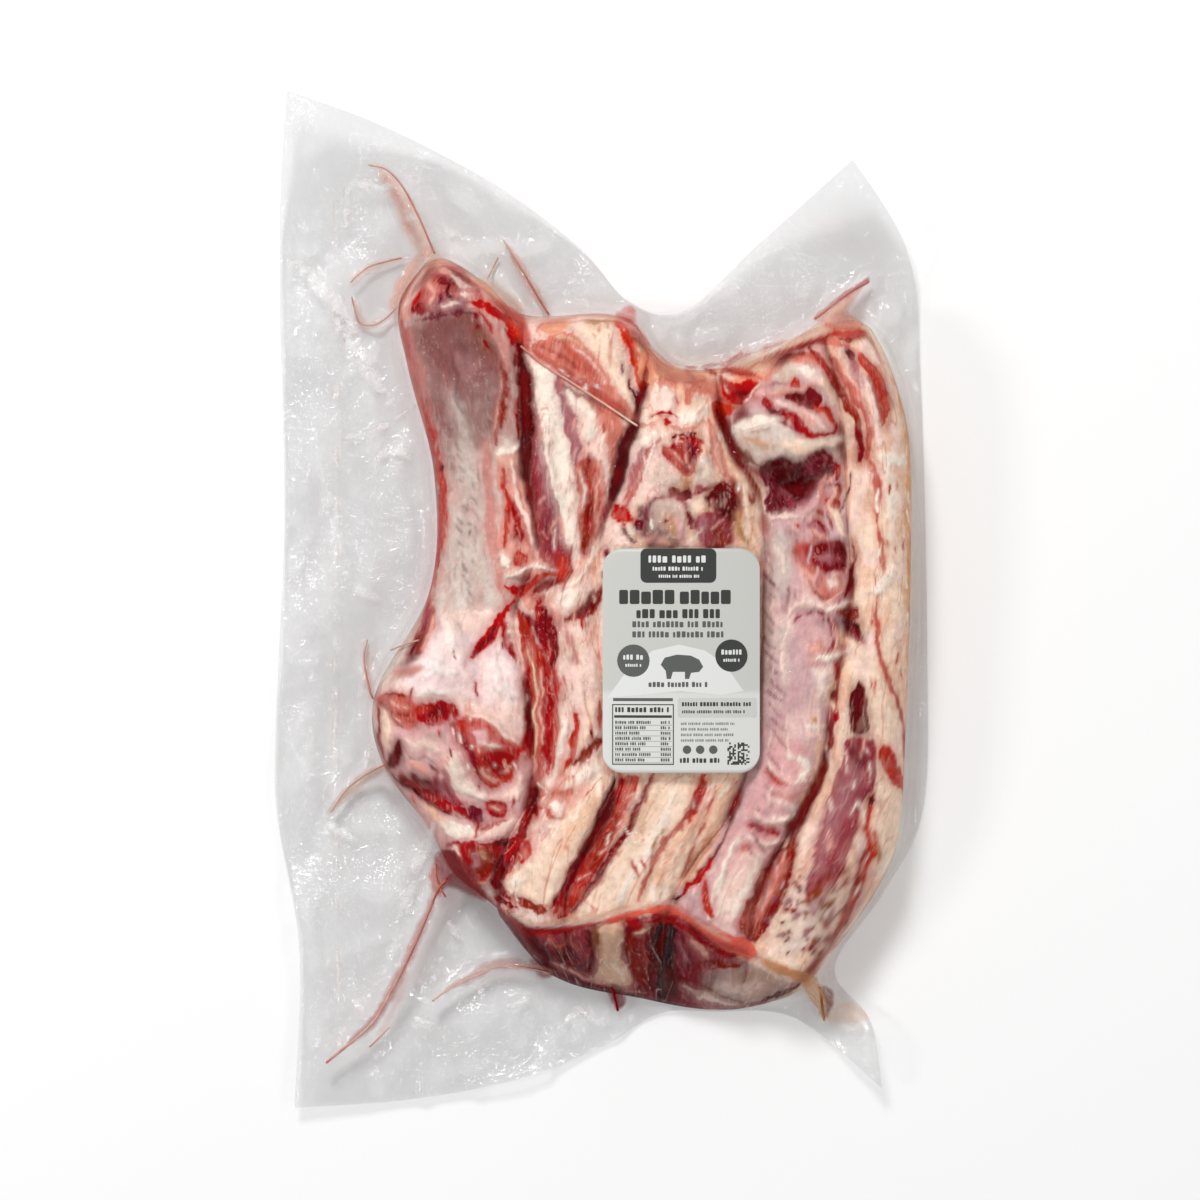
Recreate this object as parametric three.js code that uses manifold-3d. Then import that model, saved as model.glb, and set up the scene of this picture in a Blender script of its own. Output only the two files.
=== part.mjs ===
// A vacuum pack of pork ribs: five strips side by side in a shrunk clear bag, lying flat, label up.
// Millimetres. +X is to the right, +Y towards the bag's open end, +Z up. The flat underside lies on z = 0.
// The bag is sealed and sucked tight, so bag and contents are one solid; the label is the second piece.
import * as THREE from "three";
import { mergeVertices } from "three/addons/utils/BufferGeometryUtils.js";
import Module from "manifold-3d";

const wasm = await Module();
wasm.setup();

// ---- Driving dimensions -------------------------------------------------------------------------

const SHEET = 1.4; // the empty margin of the bag: two films and the juice and air caught between them
const SHEET_CELLS = [20, 30]; // columns and rows of the sheet's mesh
const STRIP_CELLS = [12, 40]; // columns across a strip, rows along it
const STRIP_FOOT = 0.5; // the strips start this high, inside the sheet
const OVERLAP = 4.5; // the strips press into each other by this much on each side of a border
const SIDE_POWER = 2.6; // how boxy a strip's cross-section is
const TOP_ROUNDING = 15; // the upper ends of the strips round off over this length
const LABEL = { width: 70, height: 100, corner: 9, thickness: 0.5, x: 35.5, y: -27, top: 52.6 };
const LABEL_CROWN = 170; // radius of the label's bend over the strip under it
const LABEL_GAP = 0.3; // between the label and the film under it
const PAD = { margin: 1.5, flare: 9, depth: 22 }; // the film tented under the label, down to the strips

// The bag's four edges, corner to corner: 300 by 460 mm film, pulled out of square by the vacuum.
const BAG_LEFT = [
  [-139, -230], [-137, -158], [-147, -100], [-148, -60], [-144, 36], [-146, 161], [-142, 230],
];
const BAG_TOP = [
  [-142, 230], [-94, 212], [-48, 188], [-10, 160], [12, 136], [37, 131], [71, 161], [113, 198],
];
const BAG_RIGHT = [
  [127, -221], [122, -191], [106, -167], [128, -133], [146, -95],
  [148, -22], [145, 100], [139, 156], [113, 198],
];
const BAG_BOTTOM = [
  [-139, -230], [-91, -227], [-41, -218], [0, -203], [26, -188], [50, -187], [88, -190], [127, -221],
];

// The borders of the five strips from left to right, as x along y: left side, four grooves, right side.
const BORDERS = [
  [
    [-171, -33], [-143, -44], [-124, -67], [-104, -78], [-75, -99], [-44, -103],
    [4, -78], [57, -76], [106, -88], [134, -92], [155, -80],
  ],
  [
    [-171, -26], [-143, -42], [-112, -42], [-85, -30], [-40, -34],
    [-7, -40], [22, -28], [58, -34], [130, -37],
  ],
  [[-178, -8], [-140, -18], [-80, 6], [-20, 0], [18, -1], [50, 7], [79, 17], [110, 24]],
  [[-185, 28], [-135, 32], [-87, 63], [-52, 70], [-9, 73], [46, 72], [68, 58], [110, 50]],
  [[-183, 62], [-128, 70], [-77, 97], [-42, 103], [2, 112], [41, 109], [95, 106], [126, 98]],
  [
    [-174, 97], [-163, 104], [-133, 124], [-111, 134], [-52, 138],
    [18, 140], [74, 139], [108, 130], [126, 121],
  ],
];
// As y along x: the strips' upper ends, the fold where their upper faces turn down, and their feet.
const TOP_END = [
  [-100, 118], [-92, 134], [-77, 155], [-54, 145], [-37, 130], [12, 128], [28, 108],
  [52, 105], [74, 111], [98, 124], [118, 126], [132, 112], [141, 96],
];
const FOLD_LINE = [
  [-104, -60], [-90, -82], [-70, -112], [-44, -138], [-1, -141], [32, -134],
  [62, -150], [89, -163], [112, -142], [128, -117], [140, -96],
];
const FOOT_LINE = [
  [-104, -70], [-90, -92], [-67, -124], [-44, -145], [-23, -170], [19, -181],
  [50, -186], [75, -183], [97, -172], [124, -134], [141, -98],
];
// How high each strip stands along its length, as z along y.
const CROWNS = {
  shank: [[-130, 32], [-60, 44], [-20, 43], [40, 36], [100, 40], [150, 34]],
  lean_band: [[-175, 34], [-130, 43], [-60, 41], [20, 37], [80, 39], [128, 34]],
  knuckle: [[-175, 36], [-130, 43], [-60, 47], [20, 48], [60, 48], [110, 40]],
  membrane: [[-180, 38], [-130, 44], [-60, 46], [20, 46], [60, 49], [112, 42]],
  rind: [[-175, 36], [-130, 42], [-60, 45], [20, 45], [80, 45], [124, 37]],
};
const MEAT_LUMPS = [
  // x, y, half length across, half length along, height: knuckles, bone ends and muscle lenses
  [-80, -34, 17, 15, 7],
  [-88, -62, 13, 11, 5],
  [-56, -66, 15, 14, 7],
  [-56, -112, 11, 12, 5],
  [-74, 138, 11, 10, 4],
  [-30, 40, 7, 24, 4],
  [-38, -20, 6, 26, 5],
  [-14, -112, 10, 24, 5],
  [36, 66, 17, 15, 7],
  [47, 38, 12, 10, 4],
  [84, 70, 17, 11, 9],
  [92, 98, 14, 12, 6],
  [106, 25, 8, 8, 5],
  [105, -4, 7, 8, 5],
  [98, -36, 8, 9, 5],
  [93, -63, 7, 9, 4],
  [82, -90, 8, 9, 4],
  [110, -62, 6, 22, 4],
  [103, -114, 10, 24, 4],
  [122, 88, 6, 20, 3],
];
const MEAT_HOLLOWS = [
  // x, y, half length across, half length along, depth
  [-56, 110, 12, 20, 4],
  [-58, 50, 10, 34, 3],
  [86, 50, 15, 6, 8],
  [60, 88, 8, 12, 9],
  [-77, -86, 12, 5, 5],
  [-44, -82, 8, 10, 4],
  [30, 22, 12, 7, 4],
];
// Creases of film drawn out of the pack: points along the crest, then width and height at the root.
const CREASES = {
  top_left_spike: { points: [[-76, 146], [-83, 171], [-98, 193]], width: 8, height: 30 },
  top_thread: { points: [[-26, 124], [-35, 146], [-44, 163]], width: 6, height: 10 },
  left_loop: { points: [[-88, 128], [-103, 125], [-112, 136]], width: 5, height: 8 },
  left_point: { points: [[-100, -44], [-106, -32], [-107, -18]], width: 5, height: 7 },
  left_root: { points: [[-96, -72], [-107, -80], [-122, -97]], width: 7, height: 12 },
  long_tail: { points: [[-68, -122], [-78, -146], [-94, -176], [-123, -209]], width: 9, height: 18 },
  lower_tail: { points: [[-26, -164], [-45, -167], [-60, -170], [-75, -181]], width: 7, height: 10 },
  lower_spike: { points: [[6, -172], [7, -180], [7, -186]], width: 8, height: 12 },
  right_tail: { points: [[96, -168], [101, -180], [112, -189]], width: 16, height: 26 },
  top_web: { points: [[4, 120], [12, 128], [16, 134]], width: 14, height: 24 },
  right_spike: { points: [[96, 116], [106, 130], [121, 144]], width: 13, height: 32 },
};
// The crest of film and juice along the fold line.
const FRONT_FOLD = {
  points: [[-40, -139], [-14, -142], [10, -139], [32, -136], [52, -145], [72, -156], [90, -164]],
  width: 9,
  height: 4.5,
};

// ---- Curves and small helpers -------------------------------------------------------------------

/** The y of a smooth curve through [x, y] points at a given x; straight on past both ends. */
function along(points, at) {
  const last = points.length - 1;
  let k = 0;
  while (k < last - 1 && at > points[k + 1][0]) k++;
  const [x0, y0] = points[k];
  const [x1, y1] = points[k + 1];
  const slope = (i) => {
    const a = points[Math.max(i - 1, 0)];
    const b = points[Math.min(i + 1, last)];
    return (b[1] - a[1]) / (b[0] - a[0]);
  };
  const span = x1 - x0;
  const t = (at - x0) / span;
  if (t < 0) return y0 + slope(k) * (at - x0);
  if (t > 1) return y1 + slope(k + 1) * (at - x1);
  const [t2, t3] = [t * t, t * t * t];
  return (
    (2 * t3 - 3 * t2 + 1) * y0 + (t3 - 2 * t2 + t) * span * slope(k) +
    (3 * t2 - 2 * t3) * y1 + (t3 - t2) * span * slope(k + 1)
  );
}

const smooth = (low, high, value) => THREE.MathUtils.smoothstep(value, low, high);
const bell = (x, y, cx, cy, rx, ry) => Math.exp(-(((x - cx) / rx) ** 2) - ((y - cy) / ry) ** 2);
const clamp01 = (value) => Math.min(1, Math.max(0, value));

/** A closed solid between a top and a bottom grid of points that share their outline. */
function shell(columns, rows, topPoint, bottomPoint) {
  const position = [];
  const index = [];
  const id = (side, i, j) => side * (columns + 1) * (rows + 1) + j * (columns + 1) + i;
  for (const point of [topPoint, bottomPoint]) {
    for (let j = 0; j <= rows; j++) {
      for (let i = 0; i <= columns; i++) position.push(...point(i / columns, j / rows));
    }
  }
  const quad = (a, b, c, d) => index.push(a, b, c, a, c, d);
  for (let j = 0; j < rows; j++) {
    for (let i = 0; i < columns; i++) {
      quad(id(0, i, j), id(0, i + 1, j), id(0, i + 1, j + 1), id(0, i, j + 1));
      quad(id(1, i, j), id(1, i, j + 1), id(1, i + 1, j + 1), id(1, i + 1, j));
    }
  }
  for (let i = 0; i < columns; i++) {
    quad(id(1, i, 0), id(1, i + 1, 0), id(0, i + 1, 0), id(0, i, 0));
    quad(id(0, i, rows), id(0, i + 1, rows), id(1, i + 1, rows), id(1, i, rows));
  }
  for (let j = 0; j < rows; j++) {
    quad(id(0, 0, j), id(0, 0, j + 1), id(1, 0, j + 1), id(1, 0, j));
    quad(id(1, columns, j), id(1, columns, j + 1), id(0, columns, j + 1), id(0, columns, j));
  }
  const made = new THREE.BufferGeometry();
  made.setAttribute("position", new THREE.Float32BufferAttribute(position, 3));
  return made.setIndex(index);
}

/** A BufferGeometry as a manifold-3d solid. */
function toSolid(geometry) {
  const bare = new THREE.BufferGeometry();
  bare.setAttribute("position", geometry.getAttribute("position"));
  bare.setIndex(geometry.index);
  const merged = mergeVertices(bare, 1e-3);
  const mesh = new wasm.Mesh({
    numProp: 3,
    vertProperties: merged.attributes.position.array,
    triVerts: new Uint32Array(merged.index.array),
  });
  return new wasm.Manifold(mesh);
}

/** A manifold-3d solid as a BufferGeometry. */
function toGeometry(solid) {
  const mesh = solid.getMesh();
  const made = new THREE.BufferGeometry();
  made.setAttribute("position", new THREE.BufferAttribute(mesh.vertProperties, 3));
  made.setIndex(new THREE.BufferAttribute(mesh.triVerts, 1));
  made.computeVertexNormals();
  return made;
}

// ---- The empty margin of the bag ----------------------------------------------------------------

/** A smooth curve through [x, y] points. */
const curveThrough = (points) => new THREE.SplineCurve(points.map(([x, y]) => new THREE.Vector2(x, y)));

const EDGES = {
  left: curveThrough(BAG_LEFT),
  right: curveThrough(BAG_RIGHT),
  top: curveThrough(BAG_TOP),
  bottom: curveThrough(BAG_BOTTOM),
};

/** The bag's flat film at u across and v up, blended from its four edges (a Coons patch). */
function bagPoint(u, v) {
  const [left, right] = [EDGES.left.getPointAt(v), EDGES.right.getPointAt(v)];
  const [bottom, top] = [EDGES.bottom.getPointAt(u), EDGES.top.getPointAt(u)];
  const [c00, c10] = [EDGES.left.getPoint(0), EDGES.right.getPoint(0)];
  const [c01, c11] = [EDGES.left.getPoint(1), EDGES.right.getPoint(1)];
  const mix = (axis) =>
    (1 - u) * (left[axis] - (1 - v) * c00[axis] - v * c01[axis]) +
    u * (right[axis] - (1 - v) * c10[axis] - v * c11[axis]) +
    (1 - v) * bottom[axis] +
    v * top[axis];
  return [mix("x"), mix("y")];
}

/** How far a point lies outside the contents, negative inside. */
function outside(x, y) {
  return Math.max(
    along(BORDERS[0], y) - x,
    x - along(BORDERS[5], y),
    y - along(TOP_END, x),
    along(FOOT_LINE, x) - y,
  );
}

/** Height of the margin's underside: flat by the contents, then wavy, curling up at the corners. */
function marginLift(x, y) {
  const waves = 3.0 + 1.6 * Math.sin(y / 21 + x / 37) + 1.1 * Math.sin(y / 11 - x / 19 + 1.3);
  const curls =
    15 * bell(x, y, -142, 232, 60, 52) + 22 * bell(x, y, 116, 200, 46, 48) +
    7 * bell(x, y, 128, -222, 30, 26) + 5 * bell(x, y, -140, -232, 60, 50);
  return (waves + curls) * smooth(13, 56, outside(x, y));
}

/** The bag's two films as one thin closed sheet, flat under the contents. */
function sheet() {
  const at = (rise) => (u, v) => {
    const [x, y] = bagPoint(u, v);
    return [x, y, marginLift(x, y) + rise];
  };
  return toSolid(shell(...SHEET_CELLS, at(SHEET), at(0)));
}

// ---- The contents -------------------------------------------------------------------------------

/** Height added by the lumps and taken by the hollows of the meat. */
function relief(x, y) {
  const one = ([cx, cy, rx, ry, rise]) => rise * bell(x, y, cx, cy, rx, ry);
  const sum = (list) => list.reduce((all, entry) => all + one(entry), 0);
  const ripple = 0.7 * Math.sin(x / 3.1 + y / 8) * Math.sin(y / 6.3 - x / 11);
  return sum(MEAT_LUMPS) - sum(MEAT_HOLLOWS) + ripple;
}

/** The top of strip number k at a point, where across runs from -1 to 1 over its width. */
function stripTop(k, crown, x, y, across) {
  const side = (1 - Math.abs(across) ** SIDE_POWER) ** (1 / SIDE_POWER);
  const fold = along(FOLD_LINE, x);
  const down = clamp01((fold - y) / (fold - along(FOOT_LINE, x)));
  const end = along(TOP_END, x);
  const up = clamp01((y - end + TOP_ROUNDING) / TOP_ROUNDING);
  const lower = (1 - down ** 1.7) ** 0.75;
  const upper = Math.sqrt(1 - up ** 2.4);
  return Math.max(STRIP_FOOT + 1.2, (along(crown, y) + relief(x, y)) * side * lower * upper);
}

/** Where strip number k starts and ends across at some y, with its overlap on its neighbours. */
function stripSides(k, y) {
  const low = along(BORDERS[k], y) - (k > 0 ? OVERLAP : 0);
  const high = along(BORDERS[k + 1], y) + (k < 4 ? OVERLAP : 0);
  return [low, high];
}

/** Strip number k as a closed solid, with its ends on the upper and lower outlines of the contents. */
function strip(k, crown) {
  const place = (u, v) => {
    const across = Math.sin((u - 0.5) * Math.PI);
    const eased = v - Math.sin(2 * Math.PI * v) / (4 * Math.PI);
    let x = (along(BORDERS[k], 0) + along(BORDERS[k + 1], 0)) / 2;
    let y = 0;
    for (let pass = 0; pass < 6; pass++) {
      y = THREE.MathUtils.lerp(along(FOOT_LINE, x), along(TOP_END, x), eased);
      const [low, high] = stripSides(k, y);
      x = (low + high) / 2 + (across * (high - low)) / 2;
    }
    return [x, y, across];
  };
  const topPoint = (u, v) => {
    const [x, y, across] = place(u, v);
    return [x, y, stripTop(k, crown, x, y, across)];
  };
  const bottomPoint = (u, v) => {
    const [x, y] = place(u, v);
    return [x, y, STRIP_FOOT];
  };
  return toSolid(shell(...STRIP_CELLS, topPoint, bottomPoint));
}

// ---- Creases of film ----------------------------------------------------------------------------

/** A crease as a long low wedge: a triangular section that tapers from its root to its tip. */
function wedge(points, baseHeight, width, height, taper) {
  const curve = curveThrough(points);
  const steps = 5 * (points.length - 1);
  const at = (v) => {
    const [p, t] = [curve.getPoint(v), curve.getTangent(v)];
    const size = taper ? 1 - 0.86 * v : 1 - 0.8 * Math.abs(2 * v - 1) ** 3;
    return { p, side: new THREE.Vector2(-t.y, t.x), size };
  };
  const topPoint = (u, v) => {
    const { p, side, size } = at(v);
    const s = (2 * u - 1) * 0.5 * width * size;
    const crest = (1 - Math.abs(2 * u - 1)) * height * size;
    return [p.x - side.x * s, p.y - side.y * s, baseHeight(p.x, p.y) + 0.9 + crest];
  };
  const bottomPoint = (u, v) => {
    const { p, side, size } = at(v);
    const s = (2 * u - 1) * 0.5 * width * size;
    return [p.x - side.x * s, p.y - side.y * s, baseHeight(p.x, p.y) + 0.6];
  };
  return toSolid(shell(2, steps, topPoint, bottomPoint));
}

/** The long crest of film and juice where the upper faces of the strips turn down. */
function frontFold(surface) {
  const { points, width, height } = FRONT_FOLD;
  return wedge(points, (x, y) => surface(x, y) - 2.5, width, height + 2.5, false);
}

// ---- The label and its seat ---------------------------------------------------------------------

/** Height of the label's upper face, some millimetres to the side of its middle. */
const labelTop = (aside) => LABEL.top - aside ** 2 / (2 * LABEL_CROWN);

/** A plate of the label's outline, each face grown by some millimetres and set off from its top. */
function plate(high, low) {
  const at = ({ grow, offset }) => (u, v) => {
    const [halfWidth, halfHeight] = [LABEL.width / 2 + grow, LABEL.height / 2 + grow];
    const corner = LABEL.corner + grow;
    const x = -Math.cos(u * Math.PI) * halfWidth;
    const past = Math.max(0, Math.abs(x) - (halfWidth - corner));
    const reach = halfHeight - corner + Math.sqrt(Math.max(0, corner ** 2 - past ** 2));
    return [LABEL.x + x, LABEL.y + (2 * v - 1) * reach, labelTop(x) + offset];
  };
  return shell(14, 4, at(high), at(low));
}

// ---- Assembly -----------------------------------------------------------------------------------

const crowns = Object.values(CROWNS);
const strips = crowns.map((crown, k) => strip(k, crown));

/** The top of the contents at a point, for what lies on it. */
function surface(x, y) {
  const heights = crowns.map((crown, k) => {
    const [low, high] = stripSides(k, y);
    const across = (2 * x - low - high) / (high - low);
    return Math.abs(across) < 1 ? stripTop(k, crown, x, y, across) : 0;
  });
  return Math.max(...heights);
}

/** The sealed bag with its contents. */
function bag() {
  let made = sheet();
  for (const one of strips) made = made.add(one);
  for (const { points, width, height } of Object.values(CREASES)) {
    made = made.add(wedge(points, marginLift, width, height, true));
  }
  made = made.add(frontFold(surface));
  const under = -LABEL.thickness - LABEL_GAP;
  const rim = { grow: PAD.margin, offset: under };
  const seat = toSolid(plate(rim, { grow: PAD.margin + PAD.flare, offset: under - PAD.depth }));
  const clearance = toSolid(plate({ grow: PAD.margin, offset: 30 }, rim));
  return made.subtract(clearance).add(seat);
}

/** A named mesh with its own material. */
function piece(name, geometry, colour, roughness) {
  const material = new THREE.MeshStandardMaterial({ color: colour, roughness, metalness: 0 });
  const mesh = new THREE.Mesh(geometry, material);
  mesh.name = name;
  return mesh;
}

const labelPlate = plate({ grow: 0, offset: 0 }, { grow: 0, offset: -LABEL.thickness });

const pack = new THREE.Group();
pack.add(piece("bag", toGeometry(bag()), "#c9938a", 0.25));
pack.add(piece("label", labelPlate, "#d3d4d0", 0.5));

export default pack;
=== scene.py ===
"""A vacuum pack of pork ribs: five rib strips under shrunk clear film, juice in its creases, and a printed label.

The pack lies flat with its label up. Lengths in the classes are millimetres in the frame of the CAD model, and
what is drawn on a surface is given in steps of 0.45 mm on a layout sheet of 1200 by 1200 steps over the pack.
"""

import logging
import math
from dataclasses import dataclass, field
from enum import Enum

import bmesh
import bpy
import numpy as np
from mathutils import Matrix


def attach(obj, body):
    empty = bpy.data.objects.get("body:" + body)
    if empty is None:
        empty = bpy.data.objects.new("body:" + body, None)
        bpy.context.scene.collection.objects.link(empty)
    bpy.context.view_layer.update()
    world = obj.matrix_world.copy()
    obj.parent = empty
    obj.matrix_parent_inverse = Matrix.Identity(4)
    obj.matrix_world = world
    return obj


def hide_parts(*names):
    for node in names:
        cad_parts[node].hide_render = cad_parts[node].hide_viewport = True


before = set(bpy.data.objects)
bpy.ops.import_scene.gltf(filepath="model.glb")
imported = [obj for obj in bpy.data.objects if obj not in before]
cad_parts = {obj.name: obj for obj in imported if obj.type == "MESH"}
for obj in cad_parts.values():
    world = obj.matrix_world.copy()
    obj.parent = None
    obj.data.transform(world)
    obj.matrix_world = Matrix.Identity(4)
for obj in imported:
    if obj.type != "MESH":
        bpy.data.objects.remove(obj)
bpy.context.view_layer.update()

LOG = logging.getLogger("rib_pack")
MM = 0.001
STEP = 0.45  # one step of the layout sheet in millimetres
MIDDLE = (601.5, 600.0)  # the layout sheet's point over the origin
SEED = 7863  # every random draw starts from it, so that each build is the same


# ---------------------------------------------------------------- numbers and noise


def layout(text: str) -> np.ndarray:
    """Reads points off the layout sheet.

    Args:
        text: Points as "across,down" in steps, with spaces between them.

    Returns:
        An array of x and y in millimetres.
    """
    steps = np.array([[float(n) for n in pair.split(",")] for pair in text.split()])
    return np.column_stack(((steps[:, 0] - MIDDLE[0]) * STEP, (MIDDLE[1] - steps[:, 1]) * STEP))


def smooth(low: float, high: float, value: np.ndarray) -> np.ndarray:
    """Rises from 0 to 1 between two values, with soft ends."""
    t = np.clip((value - low) / (high - low), 0.0, 1.0)
    return t * t * (3.0 - 2.0 * t)


def bell(x: np.ndarray, y: np.ndarray, cx: float, cy: float, rx: float, ry: float) -> np.ndarray:
    """A round hump of height 1 at a centre, with its half lengths across and along."""
    return np.exp(-(((x - cx) / rx) ** 2) - ((y - cy) / ry) ** 2)


def along(points: list[tuple[float, float]], at: np.ndarray) -> np.ndarray:
    """The height of a smooth curve over a line, straight on past both its ends.

    Args:
        points: The curve's points, in rising order of their first number.
        at: Where to read the curve.

    Returns:
        The curve's second number at each place.
    """
    p = np.array(points, dtype=float)
    at = np.asarray(at, dtype=float)
    k = np.clip(np.searchsorted(p[:, 0], at, side="left") - 1, 0, len(p) - 2)
    before, after = np.maximum(np.arange(len(p)) - 1, 0), np.minimum(np.arange(len(p)) + 1, len(p) - 1)
    slope = (p[after, 1] - p[before, 1]) / (p[after, 0] - p[before, 0])
    span = p[k + 1, 0] - p[k, 0]
    raw = (at - p[k, 0]) / span
    t = np.clip(raw, 0.0, 1.0)
    curve = (2 * t**3 - 3 * t**2 + 1) * p[k, 1] + (t**3 - 2 * t**2 + t) * span * slope[k]
    curve += (3 * t**2 - 2 * t**3) * p[k + 1, 1] + (t**3 - t**2) * span * slope[k + 1]
    curve += np.minimum(raw, 0.0) * span * slope[k] + np.maximum(raw - 1.0, 0.0) * span * slope[k + 1]
    return curve


def spline(points: list[tuple[float, float]], places: int) -> np.ndarray:
    """A smooth line through points, cut into equal lengths.

    Args:
        points: The x and y of each point.
        places: How many points to give back.

    Returns:
        An array of x and y, from the first point to the last.
    """
    p = np.array(points, dtype=float)
    p = np.vstack((p[:1], p, p[-1:]))
    fine = []
    for a, b, c, d in zip(p[:-3], p[1:-2], p[2:-1], p[3:]):
        t = np.linspace(0.0, 1.0, 40, endpoint=False)[:, None]
        v0, v1 = (c - a) * 0.5, (d - b) * 0.5
        fine.append((2 * b - 2 * c + v0 + v1) * t**3 + (-3 * b + 3 * c - 2 * v0 - v1) * t**2 + v0 * t + b)
    line = np.vstack(fine + [p[-1:]])
    run = np.concatenate(([0.0], np.cumsum(np.hypot(*np.diff(line, axis=0).T))))
    want = np.linspace(0.0, run[-1], places)
    return np.column_stack((np.interp(want, run, line[:, 0]), np.interp(want, run, line[:, 1])))


def line_distance(x: np.ndarray, y: np.ndarray, line: np.ndarray) -> tuple[np.ndarray, np.ndarray]:
    """How far points lie from a line, and how far along it.

    Args:
        x: Across, in millimetres.
        y: Along, in millimetres.
        line: The line's corners.

    Returns:
        The distance in millimetres, and the share of the line's length, 0 to 1.
    """
    best = np.full(x.shape, 1e9)
    share = np.zeros(x.shape)
    run = np.concatenate(([0.0], np.cumsum(np.hypot(*np.diff(line, axis=0).T))))
    for k in range(len(line) - 1):
        (ax, ay), (dx, dy) = line[k], line[k + 1] - line[k]
        t = np.clip(((x - ax) * dx + (y - ay) * dy) / max(dx * dx + dy * dy, 1e-9), 0.0, 1.0)
        far = np.hypot(x - ax - t * dx, y - ay - t * dy)
        nearer = far < best
        best = np.where(nearer, far, best)
        share = np.where(nearer, (run[k] + t * (run[k + 1] - run[k])) / run[-1], share)
    return best, share


def inside_field(x: np.ndarray, y: np.ndarray, ring: np.ndarray) -> np.ndarray:
    """Finds which points lie inside a closed outline.

    Args:
        x, y: The points, across and along, in millimetres.
        ring: The outline's corners.

    Returns:
        A truth value for each point.
    """
    inside = np.zeros(x.shape, dtype=bool)
    for (ax, ay), (bx, by) in zip(ring, np.roll(ring, -1, axis=0)):
        if ay != by:
            crosses = ((ay > y) != (by > y)) & (x < (bx - ax) * (y - ay) / (by - ay) + ax)
            inside ^= crosses
    return inside


@dataclass
class Noise:
    """Smooth random unevenness on a plane, the same each run.

    Attributes:
        seed: Which unevenness it is.
    """

    seed: int
    table: np.ndarray = field(init=False)

    def __post_init__(self) -> None:
        """Fills the table of random heights."""
        self.table = np.random.default_rng(SEED + self.seed).uniform(-1.0, 1.0, (256, 256))

    def at(self, x: np.ndarray, y: np.ndarray, size: float, octaves: int = 1) -> np.ndarray:
        """Reads the unevenness.

        Args:
            x: Across, in millimetres.
            y: Along, in millimetres.
            size: The length of a hump in millimetres.
            octaves: How many finer layers are added, each half as long and half as high.

        Returns:
            Heights from about -1 to 1.
        """
        total = np.zeros(np.broadcast(x, y).shape)
        for octave in range(octaves):
            fx, fy = x / size * 2**octave + 17.3 * octave, y / size * 2**octave - 9.1 * octave
            ix, iy = np.floor(fx).astype(int), np.floor(fy).astype(int)
            tx, ty = fx - ix, fy - iy
            tx, ty = tx * tx * (3 - 2 * tx), ty * ty * (3 - 2 * ty)
            corner = [self.table[(ix + a) % 256, (iy + b) % 256] for a in (0, 1) for b in (0, 1)]
            low = corner[0] * (1 - ty) + corner[1] * ty
            high = corner[2] * (1 - ty) + corner[3] * ty
            total += (low * (1 - tx) + high * tx) * 0.5**octave
        return total


# ---------------------------------------------------------------- colours and materials


def linear(code: str) -> tuple[float, float, float, float]:
    """Turns an sRGB hex colour into linear light.

    Args:
        code: The colour as "#rrggbb".

    Returns:
        Red, green and blue, and 1 for opaque.
    """
    values = [int(code[i : i + 2], 16) / 255.0 for i in (1, 3, 5)]
    r, g, b = (v / 12.92 if v <= 0.04045 else ((v + 0.055) / 1.055) ** 2.4 for v in values)
    return (r, g, b, 1.0)


def add_node(tree: bpy.types.NodeTree, kind: str, settings: dict | None = None,
             links: dict | None = None) -> bpy.types.Node:
    """Adds a node with its settings and links.

    Args:
        tree: The tree that gets the node.
        kind: The node's type name.
        settings: Values by attribute name, or by input name or number.
        links: Output sockets by the name or number of the input they go to.

    Returns:
        The new node.
    """
    node = tree.nodes.new(kind)
    for key, value in (settings or {}).items():
        if isinstance(key, str) and hasattr(node, key):
            setattr(node, key, value)
        else:
            node.inputs[key].default_value = value
    for key, socket in (links or {}).items():
        tree.links.new(socket, node.inputs[key])
    return node


def new_material(name: str) -> tuple[bpy.types.Material, bpy.types.NodeTree]:
    """Makes a material with an empty node tree.

    Args:
        name: What it is.

    Returns:
        The material and its tree.
    """
    made = bpy.data.materials.new(name)
    made.use_nodes = True
    made.node_tree.nodes.clear()
    return made, made.node_tree


def finish_material(tree: bpy.types.NodeTree, shader: bpy.types.NodeSocket) -> None:
    """Joins a shader to the material's surface."""
    add_node(tree, "ShaderNodeOutputMaterial", links={"Surface": shader})


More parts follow.
